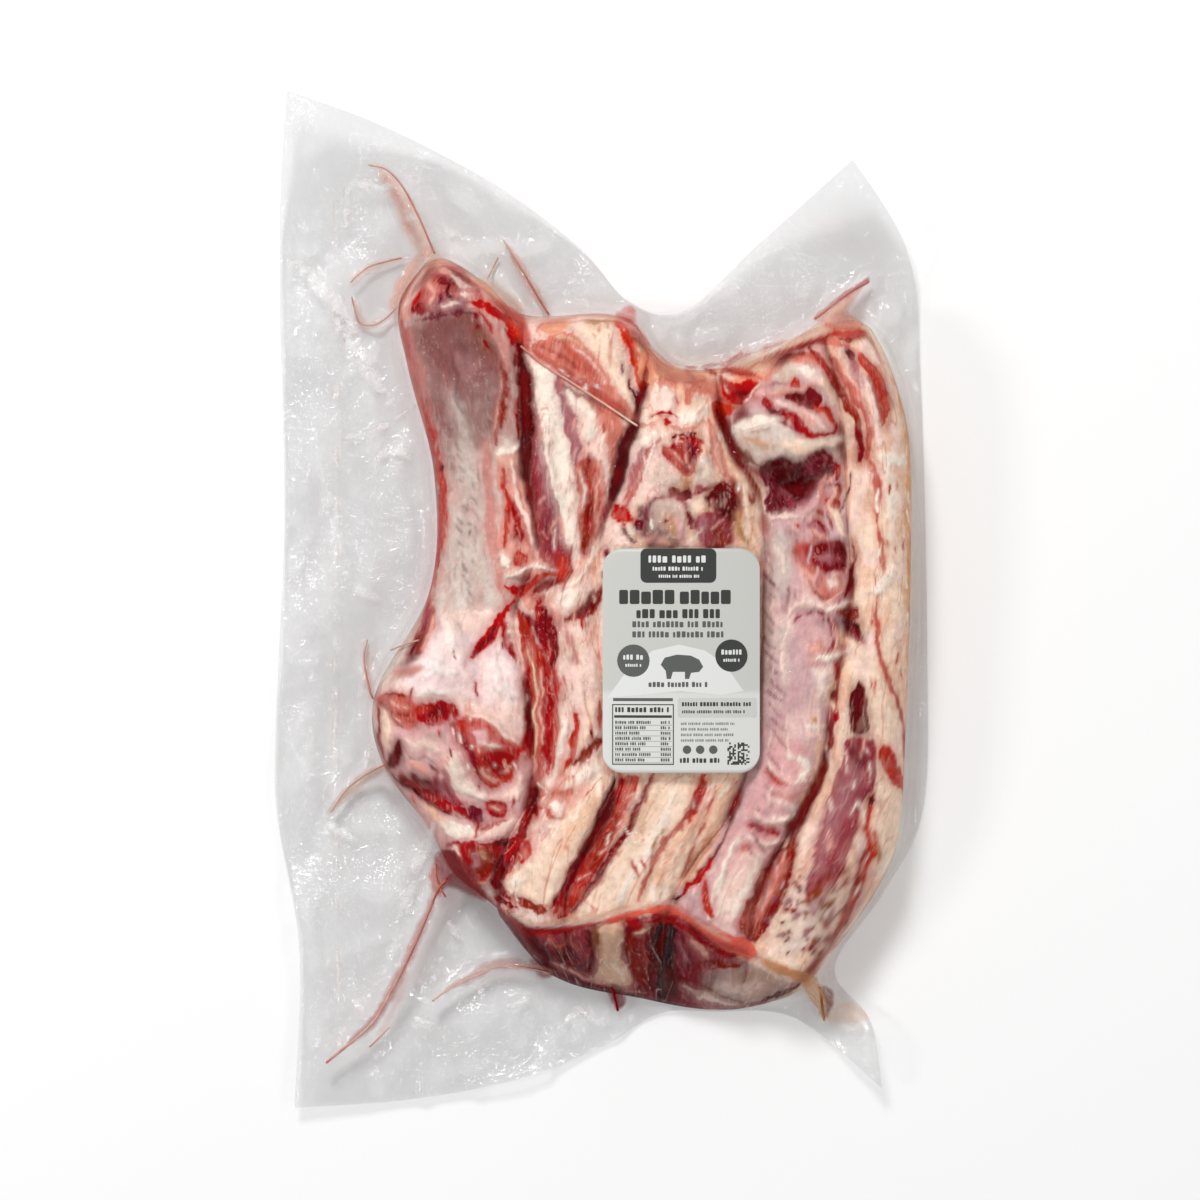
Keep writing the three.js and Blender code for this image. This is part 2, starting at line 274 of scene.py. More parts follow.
@dataclass(frozen=True)
class WetMeat:
    """Raw pork, cut and vacuum-packed: wet, slightly see-through, fibres in the lean and soft grain in the fat.

    The colour comes from the piece's own "Paint" attribute, and "Lean" says where muscle fibre runs. Fibres
    follow the piece's UV map, which holds millimetres across and along the strip.

    Attributes:
        roughness: Wet flesh under film is half shiny.
        fibre_mm: Real pork fibre bundles are 0.5 to 1 mm across; drawn at 0.9 mm so that they show.
        speck_mm: Size of the fat flecks in the lean.
        vivid: How much film and juice deepen its colours.
        index: Flesh against the juice that wets it, which leaves it little shine of its own.
        vein, seam: The fat between muscle fibres, and the flesh between lobes of fat.
        fibre_shade, lobe_shade: How much darker and lighter fibres and lobes of fat get.
        lump: Depth of the fine lumps in metres.
    """

    roughness: float = 0.38
    index: float = 1.10
    fibre_mm: float = 0.9
    speck_mm: float = 2.2
    vivid: float = 1.14
    vein: str = "#dd9f95"
    seam: str = "#cf8a7c"
    fibre_shade: tuple[float, float] = (0.62, 1.38)
    lobe_shade: tuple[float, float] = (0.86, 1.12)
    lump: float = 0.001

    def build(self) -> bpy.types.Material:
        """Makes the material.

        Returns:
            The material.
        """
        made, tree = new_material("wet_meat")
        paint = add_node(tree, "ShaderNodeAttribute", {"attribute_name": "Paint"}).outputs["Color"]
        lean = add_node(tree, "ShaderNodeAttribute", {"attribute_name": "Lean"}).outputs["Fac"]
        uv = add_node(tree, "ShaderNodeUVMap", {"uv_map": "grain"}).outputs["UV"]
        place = add_node(tree, "ShaderNodeTexCoord").outputs["Object"]
        stretch = add_node(tree, "ShaderNodeMapping", {"Scale": (1 / self.fibre_mm, 0.11, 1.0)}, {"Vector": uv})
        fibre = add_node(tree, "ShaderNodeTexNoise", {"Scale": 1.0, "Detail": 2.0, "Roughness": 0.6,
                                                     "Distortion": 0.4}, {"Vector": stretch.outputs[0]})
        flecks = add_node(tree, "ShaderNodeMapping", {"Scale": (1 / self.speck_mm, 0.16, 1.0)}, {"Vector": uv})
        marble = add_node(tree, "ShaderNodeTexNoise", {"Scale": 1.0, "Detail": 3.0, "Roughness": 0.62,
                                                      "Distortion": 1.2}, {"Vector": flecks.outputs[0]})
        blotch = add_node(tree, "ShaderNodeTexNoise", {"Scale": 260.0, "Detail": 3.0, "Roughness": 0.6},
                          {"Vector": place})
        veins = add_node(tree, "ShaderNodeMapRange", {"From Min": 0.55, "From Max": 0.68, "To Max": 0.6},
                         {"Value": marble.outputs[0]})
        veined = add_node(tree, "ShaderNodeMath", {"operation": "MULTIPLY"},
                          {0: veins.outputs[0], 1: lean}).outputs[0]
        mixed = add_node(tree, "ShaderNodeMix", {"data_type": "RGBA", 7: linear(self.vein)},
                         {0: veined, 6: paint}).outputs[2]
        seams = add_node(tree, "ShaderNodeMapRange", {"From Min": 0.40, "From Max": 0.33, "To Max": 0.2},
                         {"Value": marble.outputs[0]})
        fatty = add_node(tree, "ShaderNodeMath", {"operation": "MULTIPLY_ADD", 1: -0.8, 2: 0.8},
                         {0: lean}).outputs[0]
        seamed = add_node(tree, "ShaderNodeMath", {"operation": "MULTIPLY"},
                          {0: seams.outputs[0], 1: fatty}).outputs[0]
        rosy = add_node(tree, "ShaderNodeMix", {"data_type": "RGBA", 7: linear(self.seam)},
                        {0: seamed, 6: mixed}).outputs[2]
        shade, even = (
            add_node(tree, "ShaderNodeMapRange", {"From Min": 0.3, "From Max": 0.7, "To Min": low, "To Max": high},
                     {"Value": source.outputs[0]})
            for source, (low, high) in ((fibre, self.fibre_shade), (blotch, self.lobe_shade))
        )
        amount = add_node(tree, "ShaderNodeMix", {"data_type": "FLOAT"},
                          {0: lean, 2: even.outputs[0], 3: shade.outputs[0]}).outputs[0]
        toned = add_node(tree, "ShaderNodeHueSaturation", {"Saturation": self.vivid},
                         {"Color": rosy, "Value": amount}).outputs[0]
        lumps = add_node(tree, "ShaderNodeBump", {"Strength": 0.5, "Distance": self.lump},
                         {"Height": blotch.outputs[0]})
        body = add_node(tree, "ShaderNodeBsdfPrincipled", {"Roughness": self.roughness, "IOR": self.index},
                        {"Base Color": toned, "Normal": lumps.outputs[0]})
        finish_material(tree, body.outputs[0])
        return made


@dataclass(frozen=True)
class ClearFilm:
    """Shrunk nylon and polythene barrier film: clear, glossy, very slightly milky, creased where it was sucked in.

    The juice caught between the two films tints it, and painted glints whiten it in patches, by the piece's
    "Juice" colour and "Soak" amount. Where the film is wetted by meat it is clearest; "Air" says where
    it lies dry.

    Attributes:
        clear: What white light keeps on its way through one wetted film.
        dry_clear: What it keeps on its way through one dry film.
        mirror: The reflection as a share of one surface's: wetted film has lost its lower one, dry film has both.
        brightest: The most that it reflects at a slant, wetted and dry.
        milk: The share of light that wetted film scatters.
        dry_milk: The share that dry film scatters on top of that.
        stain: The share that film scatters in the colour under it, over a pool of juice and under a painted glint.
        roughness: Gloss of blown film.
        index: Nylon against air.
        crinkle_mm: Spacing of the fine wrinkles.
    """

    clear: str = "#ffffff"
    dry_clear: str = "#fafafa"
    mirror: tuple[float, float] = (0.5, 1.6)
    brightest: tuple[float, float] = (0.009, 0.35)
    milk: float = 0.0015
    dry_milk: float = 0.035
    stain: float = 0.68
    roughness: float = 0.07
    index: float = 1.45
    crinkle_mm: float = 4.0

    def build(self) -> bpy.types.Material:
        """Makes the material.

        Returns:
            The material.
        """
        made, tree = new_material("clear_film")
        juice = add_node(tree, "ShaderNodeAttribute", {"attribute_name": "Juice"}).outputs["Color"]
        soak = add_node(tree, "ShaderNodeAttribute", {"attribute_name": "Soak"}).outputs["Fac"]
        air = add_node(tree, "ShaderNodeAttribute", {"attribute_name": "Air"}).outputs["Fac"]
        place = add_node(tree, "ShaderNodeTexCoord").outputs["Object"]
        crinkle = add_node(tree, "ShaderNodeTexNoise", {"Scale": 1000.0 / self.crinkle_mm, "Detail": 2.0,
                                                       "Roughness": 0.55, "Distortion": 1.0}, {"Vector": place})
        second = add_node(tree, "ShaderNodeBump", {"Strength": 0.8, "Distance": 0.0015},
                          {"Height": crinkle.outputs[0]})
        plain = add_node(tree, "ShaderNodeMix", {"data_type": "RGBA", 6: linear(self.clear),
                                                 7: linear(self.dry_clear)}, {0: air}).outputs[2]
        tint = add_node(tree, "ShaderNodeMix", {"data_type": "RGBA"}, {0: soak, 6: plain, 7: juice}).outputs[2]
        through = add_node(tree, "ShaderNodeBsdfTransparent", {}, {"Color": tint})
        stained = add_node(tree, "ShaderNodeMapRange", {"From Max": 0.15}, {"Value": soak})
        haze_colour = add_node(tree, "ShaderNodeMix", {"data_type": "RGBA", 6: linear("#ffffff")},
                               {0: stained.outputs[0], 7: juice}).outputs[2]
        haze = add_node(tree, "ShaderNodeBsdfDiffuse", {}, {"Color": haze_colour, "Normal": second.outputs[0]})
        dry = add_node(tree, "ShaderNodeMath", {"operation": "MULTIPLY_ADD", 1: self.dry_milk, 2: self.milk},
                       {0: air}).outputs[0]
        cloud = add_node(tree, "ShaderNodeMapRange", {"From Max": 1.0, "To Max": self.stain},
                         {"Value": soak, "To Min": dry}).outputs[0]
        sheet = add_node(tree, "ShaderNodeMixShader", {}, {0: cloud, 1: through.outputs[0], 2: haze.outputs[0]})
        gloss = add_node(tree, "ShaderNodeBsdfAnisotropic", {"Roughness": self.roughness},
                         {"Normal": second.outputs[0]})
        mirror = add_node(tree, "ShaderNodeFresnel", {"IOR": self.index})
        both_sides, most = (add_node(tree, "ShaderNodeMapRange", {"To Min": low, "To Max": high}, {"Value": air})
                            for low, high in (self.mirror, self.brightest))
        bright = add_node(tree, "ShaderNodeMath", {"operation": "MULTIPLY"},
                          {0: mirror.outputs[0], 1: both_sides.outputs[0]})
        share = add_node(tree, "ShaderNodeMath", {"operation": "MINIMUM"},
                         {0: bright.outputs[0], 1: most.outputs[0]})
        both = add_node(tree, "ShaderNodeMixShader", {}, {0: share.outputs[0], 1: sheet.outputs[0],
                                                         2: gloss.outputs[0]})
        finish_material(tree, both.outputs[0])
        return made


@dataclass(frozen=True)
class Plain:
    """A smooth opaque finish, such as label paper, ink or the table, with a faint unevenness.

    Attributes:
        name: What it is.
        colour: Its sRGB colour.
        roughness: Its gloss, 0 to 1.
        grain_mm: Size of its unevenness.
        attribute: A colour attribute that overrides the colour, if any.
        glow: Light that it gives off, as a lit white sweep does.
    """

    name: str
    colour: str
    roughness: float = 0.5
    grain_mm: float = 1.5
    attribute: str = ""
    glow: float = 0.0

    def build(self) -> bpy.types.Material:
        """Makes the material.

        Returns:
            The material.
        """
        made, tree = new_material(self.name)
        place = add_node(tree, "ShaderNodeTexCoord").outputs["Object"]
        uneven = add_node(tree, "ShaderNodeTexNoise", {"Scale": 1000.0 / self.grain_mm, "Detail": 2.0},
                          {"Vector": place})
        bump = add_node(tree, "ShaderNodeBump", {"Strength": 0.08, "Distance": 0.0002},
                        {"Height": uneven.outputs[0]})
        body = add_node(tree, "ShaderNodeBsdfPrincipled",
                        {"Base Color": linear(self.colour), "Roughness": self.roughness, "IOR": 1.5,
                         "Emission Color": linear("#ffffff"), "Emission Strength": self.glow},
                        {"Normal": bump.outputs[0]})
        if self.attribute:
            paint = add_node(tree, "ShaderNodeAttribute", {"attribute_name": self.attribute}).outputs["Color"]
            tree.links.new(paint, body.inputs["Base Color"])
        finish_material(tree, body.outputs[0])
        return made


# ---------------------------------------------------------------- meshes


def make_piece(name: str, points: np.ndarray, faces: list, finish: bpy.types.Material) -> bpy.types.Object:
    """Makes a smooth mesh object that rides on the pack.

    Args:
        name: The piece's name.
        points: Its corners in millimetres.
        faces: Its faces, each a list of corner numbers seen from outside.
        finish: Its material.

    Returns:
        The new object.
    """
    mesh = bpy.data.meshes.new(name)
    mesh.from_pydata(np.asarray(points, dtype=float) * MM, [], faces)
    mesh.validate()
    mesh.shade_smooth()
    mesh.materials.append(finish)
    made = bpy.data.objects.new(name, mesh)
    bpy.context.scene.collection.objects.link(made)
    return register(made)


def register(piece: bpy.types.Object) -> bpy.types.Object:
    """Makes a piece ride on the pack."""
    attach(piece, "root")
    return piece


def grid_faces(columns: int, rows: int, start: int = 0) -> np.ndarray:
    """Faces of a grid whose corners are numbered row by row, seen from above."""
    number = start + np.arange((columns + 1) * (rows + 1)).reshape(rows + 1, columns + 1)
    return np.stack((number[:-1, :-1], number[:-1, 1:], number[1:, 1:], number[1:, :-1]), axis=-1).reshape(-1, 4)


def grid_rim(columns: int, rows: int) -> np.ndarray:
    """The corner numbers round a grid, anticlockwise from above."""
    number = np.arange((columns + 1) * (rows + 1)).reshape(rows + 1, columns + 1)
    return np.concatenate((number[0, :-1], number[:-1, -1], number[-1, :0:-1], number[:0:-1, 0]))


def set_colours(piece: bpy.types.Object, name: str, colours: np.ndarray) -> None:
    """Stores a linear colour for each corner point of a piece.

    Args:
        piece: The piece.
        name: What the colours are.
        colours: One for each point, from the first.
    """
    layer = piece.data.color_attributes.new(name, "FLOAT_COLOR", "POINT")
    full = np.ones((len(piece.data.vertices), 4), dtype=np.float32)
    full[: len(colours), :3] = colours
    layer.data.foreach_set("color", full.ravel())


def set_amounts(piece: bpy.types.Object, name: str, amounts: np.ndarray) -> None:
    """Stores a number for each corner point of a piece.

    Args:
        piece: The piece.
        name: What the numbers are.
        amounts: One for each point, from the first.
    """
    layer = piece.data.attributes.new(name, "FLOAT", "POINT")
    full = np.zeros(len(piece.data.vertices), dtype=np.float32)
    full[: len(amounts)] = amounts
    layer.data.foreach_set("value", full)


# ---------------------------------------------------------------- what is painted on the meat


class Tone(Enum):
    """Colours of the contents: an sRGB colour, and how much muscle fibre shows in it."""

    # fat, and painted highlights and glints on some bumps and ridges
    WHITE = ("#fbf3e9", 0.0)
    CREAM = ("#f9e6d5", 0.0)
    PEACH = ("#f0d0bb", 0.05)
    PINK = ("#e9bbb0", 0.1)
    BLUSH = ("#f7e2da", 0.0)
    GREY = ("#d9c8bd", 0.05)
    TAN = ("#c49a7a", 0.05)
    BROWN = ("#8f5c42", 0.2)
    RIND = ("#dda673", 0.0)
    BONE = ("#cda78f", 0.05)
    PEARL = ("#fff3f5", 0.0)
    SKIN_PALE = ("#d9cfc8", 0.05)
    SKIN = ("#c9b3ad", 0.1)
    # dark skin, and painted shade: over the shank's upper part, in its creases and on the knuckles' bumps
    SKIN_DARK = ("#8d6361", 0.2)
    SKIN_PINK = ("#d3a29c", 0.1)
    # lilac skin, and painted shadows on the shank's lower knuckle
    SKIN_LILAC = ("#d5b8ba", 0.05)
    SKIN_ROSE = ("#e3bcbc", 0.05)
    SKIN_MARK = ("#a39390", 0.0)
    LILAC_MARK = ("#946872", 0.0)
    LEAN = ("#a93f42", 0.85)
    LEAN_LIGHT = ("#bf5c56", 0.8)
    LEAN_PINK = ("#c67a72", 0.6)
    SALMON = ("#d69387", 0.5)
    LEAN_DARK = ("#85242c", 0.8)
    LEAN_BROWN = ("#95443c", 0.6)
    MAUVE = ("#9e525a", 0.6)
    MAUVE_PALE = ("#b27e83", 0.4)
    MAUVE_DARK = ("#762c38", 0.7)
    DEEP = ("#640d14", 0.3)
    # painted shade: the gap where two strips meet down their front, and a veil over the whole front
    BLACK = ("#200408", 0.0)
    JUICE = ("#bd121b", 0.0)
    JUICE_DARK = ("#8a080f", 0.0)
    CORAL = ("#d9675c", 0.0)
    JUICE_PALE = ("#efb8a0", 0.0)
    THREAD = ("#c9968b", 0.0)
    THREAD_PALE = ("#e0c0b6", 0.0)
    # painted glints: white haze on the film that stands for its reflections
    SHEEN = ("#ffffff", 0.0)
    CREST = ("#ff7763", 0.0)

    def light(self) -> np.ndarray:
        """The colour in linear light."""
        return np.array(linear(self.value[0])[:3])

    def fibre(self) -> float:
        """How much muscle fibre shows."""
        return self.value[1]


@dataclass(frozen=True)
class Mark:
    """One painted field: a band along a line, or all inside an outline when it has no width.

    Attributes:
        tone: Its colour.
        path: Its points on the layout sheet.
        width: The band's full width in steps, or 0 for an outline.
        blur: The softness of its edge in steps.
        lift: How far it stands above its surroundings, in millimetres.
        cover: How much of what lies under it it hides.
    """

    tone: Tone
    path: str
    width: float = 0.0
    blur: float = 3.0
    lift: float = 0.0
    cover: float = 1.0

    def line(self) -> np.ndarray:
        """Its line in millimetres, with its bends rounded off: closed for an outline.

        Returns:
            Its x and y.
        """
        points = layout(self.path)
        if self.width == 0:
            for _ in range(2):
                after = np.roll(points, -1, axis=0)
                pairs = (0.78 * points + 0.22 * after, 0.22 * points + 0.78 * after)
                points = np.stack(pairs, axis=1).reshape(-1, 2)
            return np.vstack((points, points[:1]))
        if len(points) > 2:
            return spline([tuple(point) for point in points], 4 * len(points))
        return points

    def edge(self, x: np.ndarray, y: np.ndarray, line: np.ndarray) -> np.ndarray:
        """How far points lie outside it in millimetres, negative inside.

        Args:
            x, y: The points, across and along, in millimetres.
            line: Its line, as line() gives it.

        Returns:
            A distance for each point.
        """
        far, share = line_distance(x, y, line)
        if self.width == 0:
            return np.where(inside_field(x, y, line), -far, far)
        return far - self.width * STEP / 2.0 * (1.0 - 0.6 * np.abs(2.0 * share - 1.0) ** 2.5)


T = Tone  # its short name in the code that follows


@dataclass(frozen=True)
class Strip:
    """The ground of one rib strip, under its marks.

    Attributes:
        name: The name of its piece.
        tones: Its ground colour, and two that lie over it in patches.
        patchy: How strongly the patches show.
        calm: How uneven its cut surface is, as a share of torn meat.
        fine: How uneven it is at the scale of grains of fat, in millimetres.
        hollow: How much its hollows are painted towards lean pink, for the lean and juice there and as painted
            shade.
        seams: How much the seams between lobes of fat show.
    """

    name: str
    tones: tuple[Tone, Tone, Tone]
    patchy: float
    calm: float
    fine: float
    hollow: float
    seams: float


STRIPS = (
    Strip("rib_strip_shank", (T.SKIN_PALE, T.SKIN_PINK, T.SKIN), 0.5, 1.0, 0.2, 0.25, 0.35),
    Strip("rib_strip_lean_band", (T.PINK, T.BLUSH, T.WHITE), 1.0, 1.0, 0.5, 0.6, 1.0),
    Strip("rib_strip_knuckle", (T.CREAM, T.WHITE, T.PEACH), 1.0, 1.0, 0.5, 0.5, 0.8),
    Strip("rib_strip_membrane", (T.SKIN_LILAC, T.SKIN_ROSE, T.BLUSH), 0.7, 0.8, 0.25, 0.3, 0.35),
    Strip("rib_strip_rind", (T.CREAM, T.BLUSH, T.PEACH), 1.0, 0.7, 0.4, 0.25, 0.8),
)


def read_marks(table: str) -> list[Mark]:
    """Reads painted fields, the last on top.

    Args:
        table: For each field the name of its tone, its points, and then its width, blur, lift and cover as far
            as they aren't Mark's own.

    Returns:
        The fields in the table's order.
    """
    rows: list[list[str]] = []
    for word in table.split():
        if word[0].isalpha():
            rows.append([])
        rows[-1].append(word)
    made = []
    for tone, *rest in rows:
        path = " ".join(word for word in rest if "," in word)
        made.append(Mark(Tone[tone], path, *(float(word) for word in rest if "," not in word)))
    return made


# What is painted on each strip, each from its upper end down to its foot, with finer touches after that.
# On the shank the dark skin marks over its upper part, below its top end, are painted shade. On its lower knuckle,
# from 440,612 to 522,700, the white marks on the bumps are painted highlights and the lilac marks beside them
# painted shadows, as is the thin grey line across its lumps at 410,754.
SHANK_MARKS = read_marks("""
PINK 395,306 402,288 418,262 432,246 446,246 458,256 500,296 524,316 526,332 500,318 440,300 400,325
CREAM 450,259 463,264 482,280 500,296 518,312 7
LEAN_PINK 396,322 398,302 408,280 422,260 432,250 8
JUICE 428,252 438,250 448,256 6 4
BLUSH 407,306 414,286 424,272 9 4 .4
CREAM 424,264 432,256 440,258 6 4 .4
LEAN 412,318 414,298 424,280 440,268 456,264 470,274 484,292 486,306 468,312 440,314 0 6 0 .7
LEAN_DARK 412,314 418,302 428,306 424,318 0 4
MAUVE_PALE 430,314 434,300 444,296 458,300 474,298 482,304 466,312 446,316 0 5
LEAN_DARK 438,284 442,272 452,270 466,280 464,292 452,288 0 4
PINK 428,284 434,294 430,306 7 5 .3
BLUSH 452,278 462,286 474,290 5 5 .3 .8
PINK 440,270 450,274 5 4 .3 .8
LEAN 436,296 444,300 4 4 0 .7
DEEP 452,282 450,296 456,308 3 2
MAUVE_DARK 444,296 440,306 3
BLUSH 462,296 474,300 470,308 6 4 .3
BLUSH 444,308 458,306 5 4
JUICE 420,292 416,306 4
SKIN_DARK 404,322 430,318 468,311 488,326 508,352 512,386 502,420 490,446 468,452 444,436 426,410 412,370 0 22 -.4
  .75
SKIN_DARK 420,326 448,318 472,316 486,332 500,352 502,374 478,384 452,380 430,362 418,344 0 14 -.5 .9
MAUVE_DARK 412,322 436,318 462,314 476,316 5 7 -.5 .8
SKIN_DARK 422,332 452,322 478,330 498,352 504,380 484,402 450,396 426,366 0 18 0 .4
BROWN 466,322 484,340 498,360 14 12 0 .35
SKIN_ROSE 450,350 466,356 480,372 470,386 454,378 0 14 0 .25
LEAN_PINK 399,322 408,352 416,386 424,416 432,452 12 8
MAUVE 408,330 416,366 424,402 434,440 442,480 6 6 -.3 .8
SKIN_PALE 452,396 462,420 470,460 466,500 12 12 0 .7
SKIN_PINK 410,332 420,380 430,430 442,490 444,550 13 12 0 .6
SKIN_DARK 434,400 444,430 452,470 10 12 0 .5
LEAN_LIGHT 424,404 431,436 437,455 440,474 442,505 440,524 436,550 432,577 427,606 417,639 9 6 0 .9
SKIN_PINK 487,443 488,483 490,510 494,544 500,577 506,606 12 8
SKIN_PINK 478,312 494,330 506,354 510,372 8 5 .5
LEAN 480,314 488,322 494,334 4 4 0 .8
LEAN_DARK 475,316 476,320 5 2
LEAN_DARK 478,328 481,330 6 2
LEAN_DARK 484,341 490,350 3 2
SKIN_DARK 436,336 450,350 452,367 460,380 458,396 4 5 -.5
SKIN_MARK 449,390 458,404 467,418 2 2 -.3
LEAN_DARK 441,470 445,468 4 2
LEAN 506,330 516,345 522,370 520,400 516,440 10 5
LEAN_BROWN 502,366 504,392 502,420 497,446 8 6 0 .8
LEAN_BROWN 506,376 506,404 502,436 3
PINK 500,374 500,400 496,430 2 2 0 .7
JUICE 474,302 492,310 511,324 519,346 11 5 -1
CORAL 512,320 520,332 523,346 7 4
JUICE_DARK 518,345 524,380 527,410 526,445 526,470 530,500 12 5 -2.5
DEEP 524,360 528,400 526,440 6 4 -1.5
PINK 495,455 525,445 525,470 527,490 531,524 539,555 554,572 509,579 500,564 498,550 499,524 503,505 503,490
  498,474 0 3 1.5
LEAN_LIGHT 503,470 508,500 506,530 504,548 7 4
LEAN 514,504 518,522 522,540 11 5
LEAN_LIGHT 513,470 518,494 526,524 534,552 6 5 0 .9
LEAN_DARK 518,532 522,538 8 4 -1
WHITE 496,456 522,446 5 3 1
BLUSH 513,462 516,490 520,505 530,530 538,558 4 3 .8
WHITE 503,558 508,566 13 4 1
LEAN_LIGHT 520,552 524,566 14 5
WHITE 507,577 520,572 534,566 554,573 5 3 1.5
JUICE 506,585 520,590 530,588 9 4 -1
JUICE_DARK 534,592 548,585 560,583 10 5 -2
LEAN_LIGHT 508,606 520,596 534,582 548,575 560,578 7 4 1
SKIN_ROSE 376,696 440,688 530,700 534,800 504,880 440,862 398,800 380,760 0 9 0 .8
BLUSH 400,664 414,652 435,616 460,610 500,610 524,618 530,749 513,741 494,724 481,720 460,714 456,700 440,700
  418,695 404,694 380,694 0 5
SKIN 455,620 463,634 470,650 478,676 482,700 12 9 -1
WHITE 440,616 448,630 455,648 462,660 11 6 1
SKIN_LILAC 436,612 440,622 436,640 7 6 -.4 .8
WHITE 412,668 426,660 442,668 456,672 11 7 1
SKIN_LILAC 412,684 430,680 448,684 460,688 8 6 -.8 .9
WHITE 420,694 436,690 450,694 7 4 .9
SKIN_LILAC 462,664 474,670 466,690 8 7 -.6 .7
WHITE 494,656 500,668 508,682 522,696 506,696 494,690 0 5 1.2
SKIN_PINK 486,660 482,680 480,700 7 6 -.8
PINK 466,660 472,690 470,712 5 5 -.4 .8
SKIN_LILAC 500,640 512,656 522,676 6 6 -.3 .7
PEARL 400,672 420,646 440,628 470,634 520,646 528,700 500,706 460,696 420,690 0 14 0 .6
PEARL 396,684 404,664 424,650 446,654 440,684 420,690 0 10 0 .6
LEAN_PINK 431,600 430,620 424,640 416,656 9 5
MAUVE 428,604 425,626 417,644 412,655 5
PINK 433,616 429,636 424,648 3 3 .3
LEAN_DARK 411,655 416,645 422,636 3 2
LEAN 502,616 506,632 510,646 518,660 8 4
WHITE 507,620 514,622 521,628 6 3 .7
WHITE 510,631 517,633 523,639 6 3 .7
BLUSH 512,641 519,644 525,651 6 3 .7
JUICE 508,604 498,624 487,640 474,655 10 3 -.8
LEAN_DARK 500,622 488,640 476,654 3 2 -.4
LEAN_LIGHT 514,604 526,612 536,640 545,660 540,700 541,758 526,758 524,700 522,650 0 4
LEAN_DARK 520,612 530,618 540,640 9 5 -.6
LEAN 528,660 528,690 530,730 528,752 8 4
LEAN 546,660 552,690 550,730 547,770 13 4
LEAN_DARK 545,612 551,630 557,652 553,664 10 4 -.4
PEACH 528,650 533,668 537,690 534,712 537,738 534,760 3 2 .7
PINK 541,668 543,690 540,712 544,740 3 2 .5 .9
BLUSH 518,650 522,676 524,700 522,730 526,752 4 3 .6
LEAN_PINK 558,668 558,700 556,740 552,772 5 4
LEAN_PINK 371,694 387,692 407,690 420,700 424,722 406,729 393,722 380,707 0 5 .6
LEAN_PINK 386,700 398,700 412,704 418,716 12 6 .2 .9
LEAN_BROWN 372,697 384,706 394,716 404,726 5 4
PINK 394,700 400,706 4 3 .4
LEAN_BROWN 398,712 408,714 414,720 4 4 0 .8
PINK 404,704 410,708 3 3 .4
PINK 396,716 402,720 3 3 .3
LEAN_BROWN 388,694 400,692 412,694 4 4
LEAN 416,706 430,702 444,700 458,702 459,714 450,722 438,727 424,726 0 4 .4
LEAN_LIGHT 420,712 430,708 436,714 6 4
LEAN_DARK 430,716 440,712 448,716 5 3 -.4
SKIN_ROSE 383,712 395,724 416,731 450,723 454,738 440,759 427,775 416,775 404,767 400,734 392,760 382,765 0 4
CREAM 384,712 386,730 388,750 10 5 .4
BLUSH 406,738 416,744 428,742 440,750 9 5 .8
SKIN_MARK 410,754 418,758 426,756 436,762 2 2 -.4
PINK 412,762 422,768 428,774 8 4 .6
SKIN 428,734 440,738 448,730 7 6 -.5 .8
SKIN_DARK 430,764 436,770 434,780 4 4 -.6
LEAN_BROWN 377,704 379,730 382,764 4
DEEP 400,736 402,752 397,769 384,767 392,754 0 4 -2.2
MAUVE 428,784 436,770 450,764 453,790 466,808 448,806 426,796 0 5
MAUVE_PALE 440,770 442,786 452,800 5 4 .3
DEEP 410,772 420,778 432,779 428,786 416,784 0 3 -.8
LEAN 400,776 420,790 444,804 466,814 478,826 10 5 -.4
DEEP 386,768 400,782 420,796 440,808 462,818 4 3 -.8
BLUSH 444,754 456,748 464,766 474,786 492,796 512,788 522,770 526,790 514,802 498,802 480,800 462,794 452,784 0
  4 .9
WHITE 452,758 458,776 468,790 484,798 7 5 .5
LEAN_LIGHT 451,722 470,712 490,716 500,730 520,744 520,760 512,778 500,786 488,786 478,774 470,756 458,742 0 5 .4
MAUVE 452,722 460,736 470,750 476,768 8 4
SKIN_ROSE 472,728 484,728 494,738 488,748 476,744 0 6 .8
BLUSH 470,716 482,716 496,722 508,736 522,742 5 3 .9
BLUSH 482,742 494,744 504,746 5 4 .7
LEAN 484,750 500,750 514,752 518,764 508,772 494,774 486,764 0 5 -.3
JUICE 496,756 506,760 512,752 7 6 0 .6
JUICE 520,752 526,742 530,724 7 5 -.6
LEAN_DARK 458,732 468,748 478,764 482,780 4 4
PINK 482,768 488,776 500,780 4 3 .3
PINK 500,770 508,768 514,762 3 3 .3
MAUVE_DARK 466,806 474,804 484,810 482,824 470,820
LEAN 486,802 498,798 508,804 508,814 496,818 488,812 0 4
PINK 492,806 500,808 4 3 .3
LEAN 476,830 490,826 506,820 6 4
WHITE 438,822 452,818 468,824 478,832 464,838 446,836 0 5 .6
BLUSH 476,838 492,832 508,826 522,818 9 4 .8
PEACH 424,806 436,812 446,822 6 5
LEAN 444,841 466,838 486,840 510,834 518,837 508,862 493,879 482,881 470,881 453,877 444,863 0 4
MAUVE 446,844 458,850 460,868 450,874 0 5
LEAN_BROWN 470,846 492,844 500,854 488,874 474,872 0 5
MAUVE_PALE 474,850 480,858 474,866 6 4 .5
BONE 484,848 488,856 5 4 .4 .8
DEEP 498,842 508,840 514,846 6 4 -.6
PINK 462,852 466,868 478,881 494,872 508,858 516,846 3 3 .6
BLUSH 446,850 456,846 462,852 3 3 .4
LEAN_DARK 446,870 454,876 466,878 6 4
LEAN_LIGHT 516,838 526,840 532,850 522,860 7 5
JUICE_DARK 536,790 530,812 522,830 512,850 498,872 492,884 11 5 -2.5
JUICE 534,792 530,812 526,826 9 6 -1
JUICE 520,834 510,850 500,864 4 4
LEAN_DARK 488,880 500,886 508,892 9 5
""")
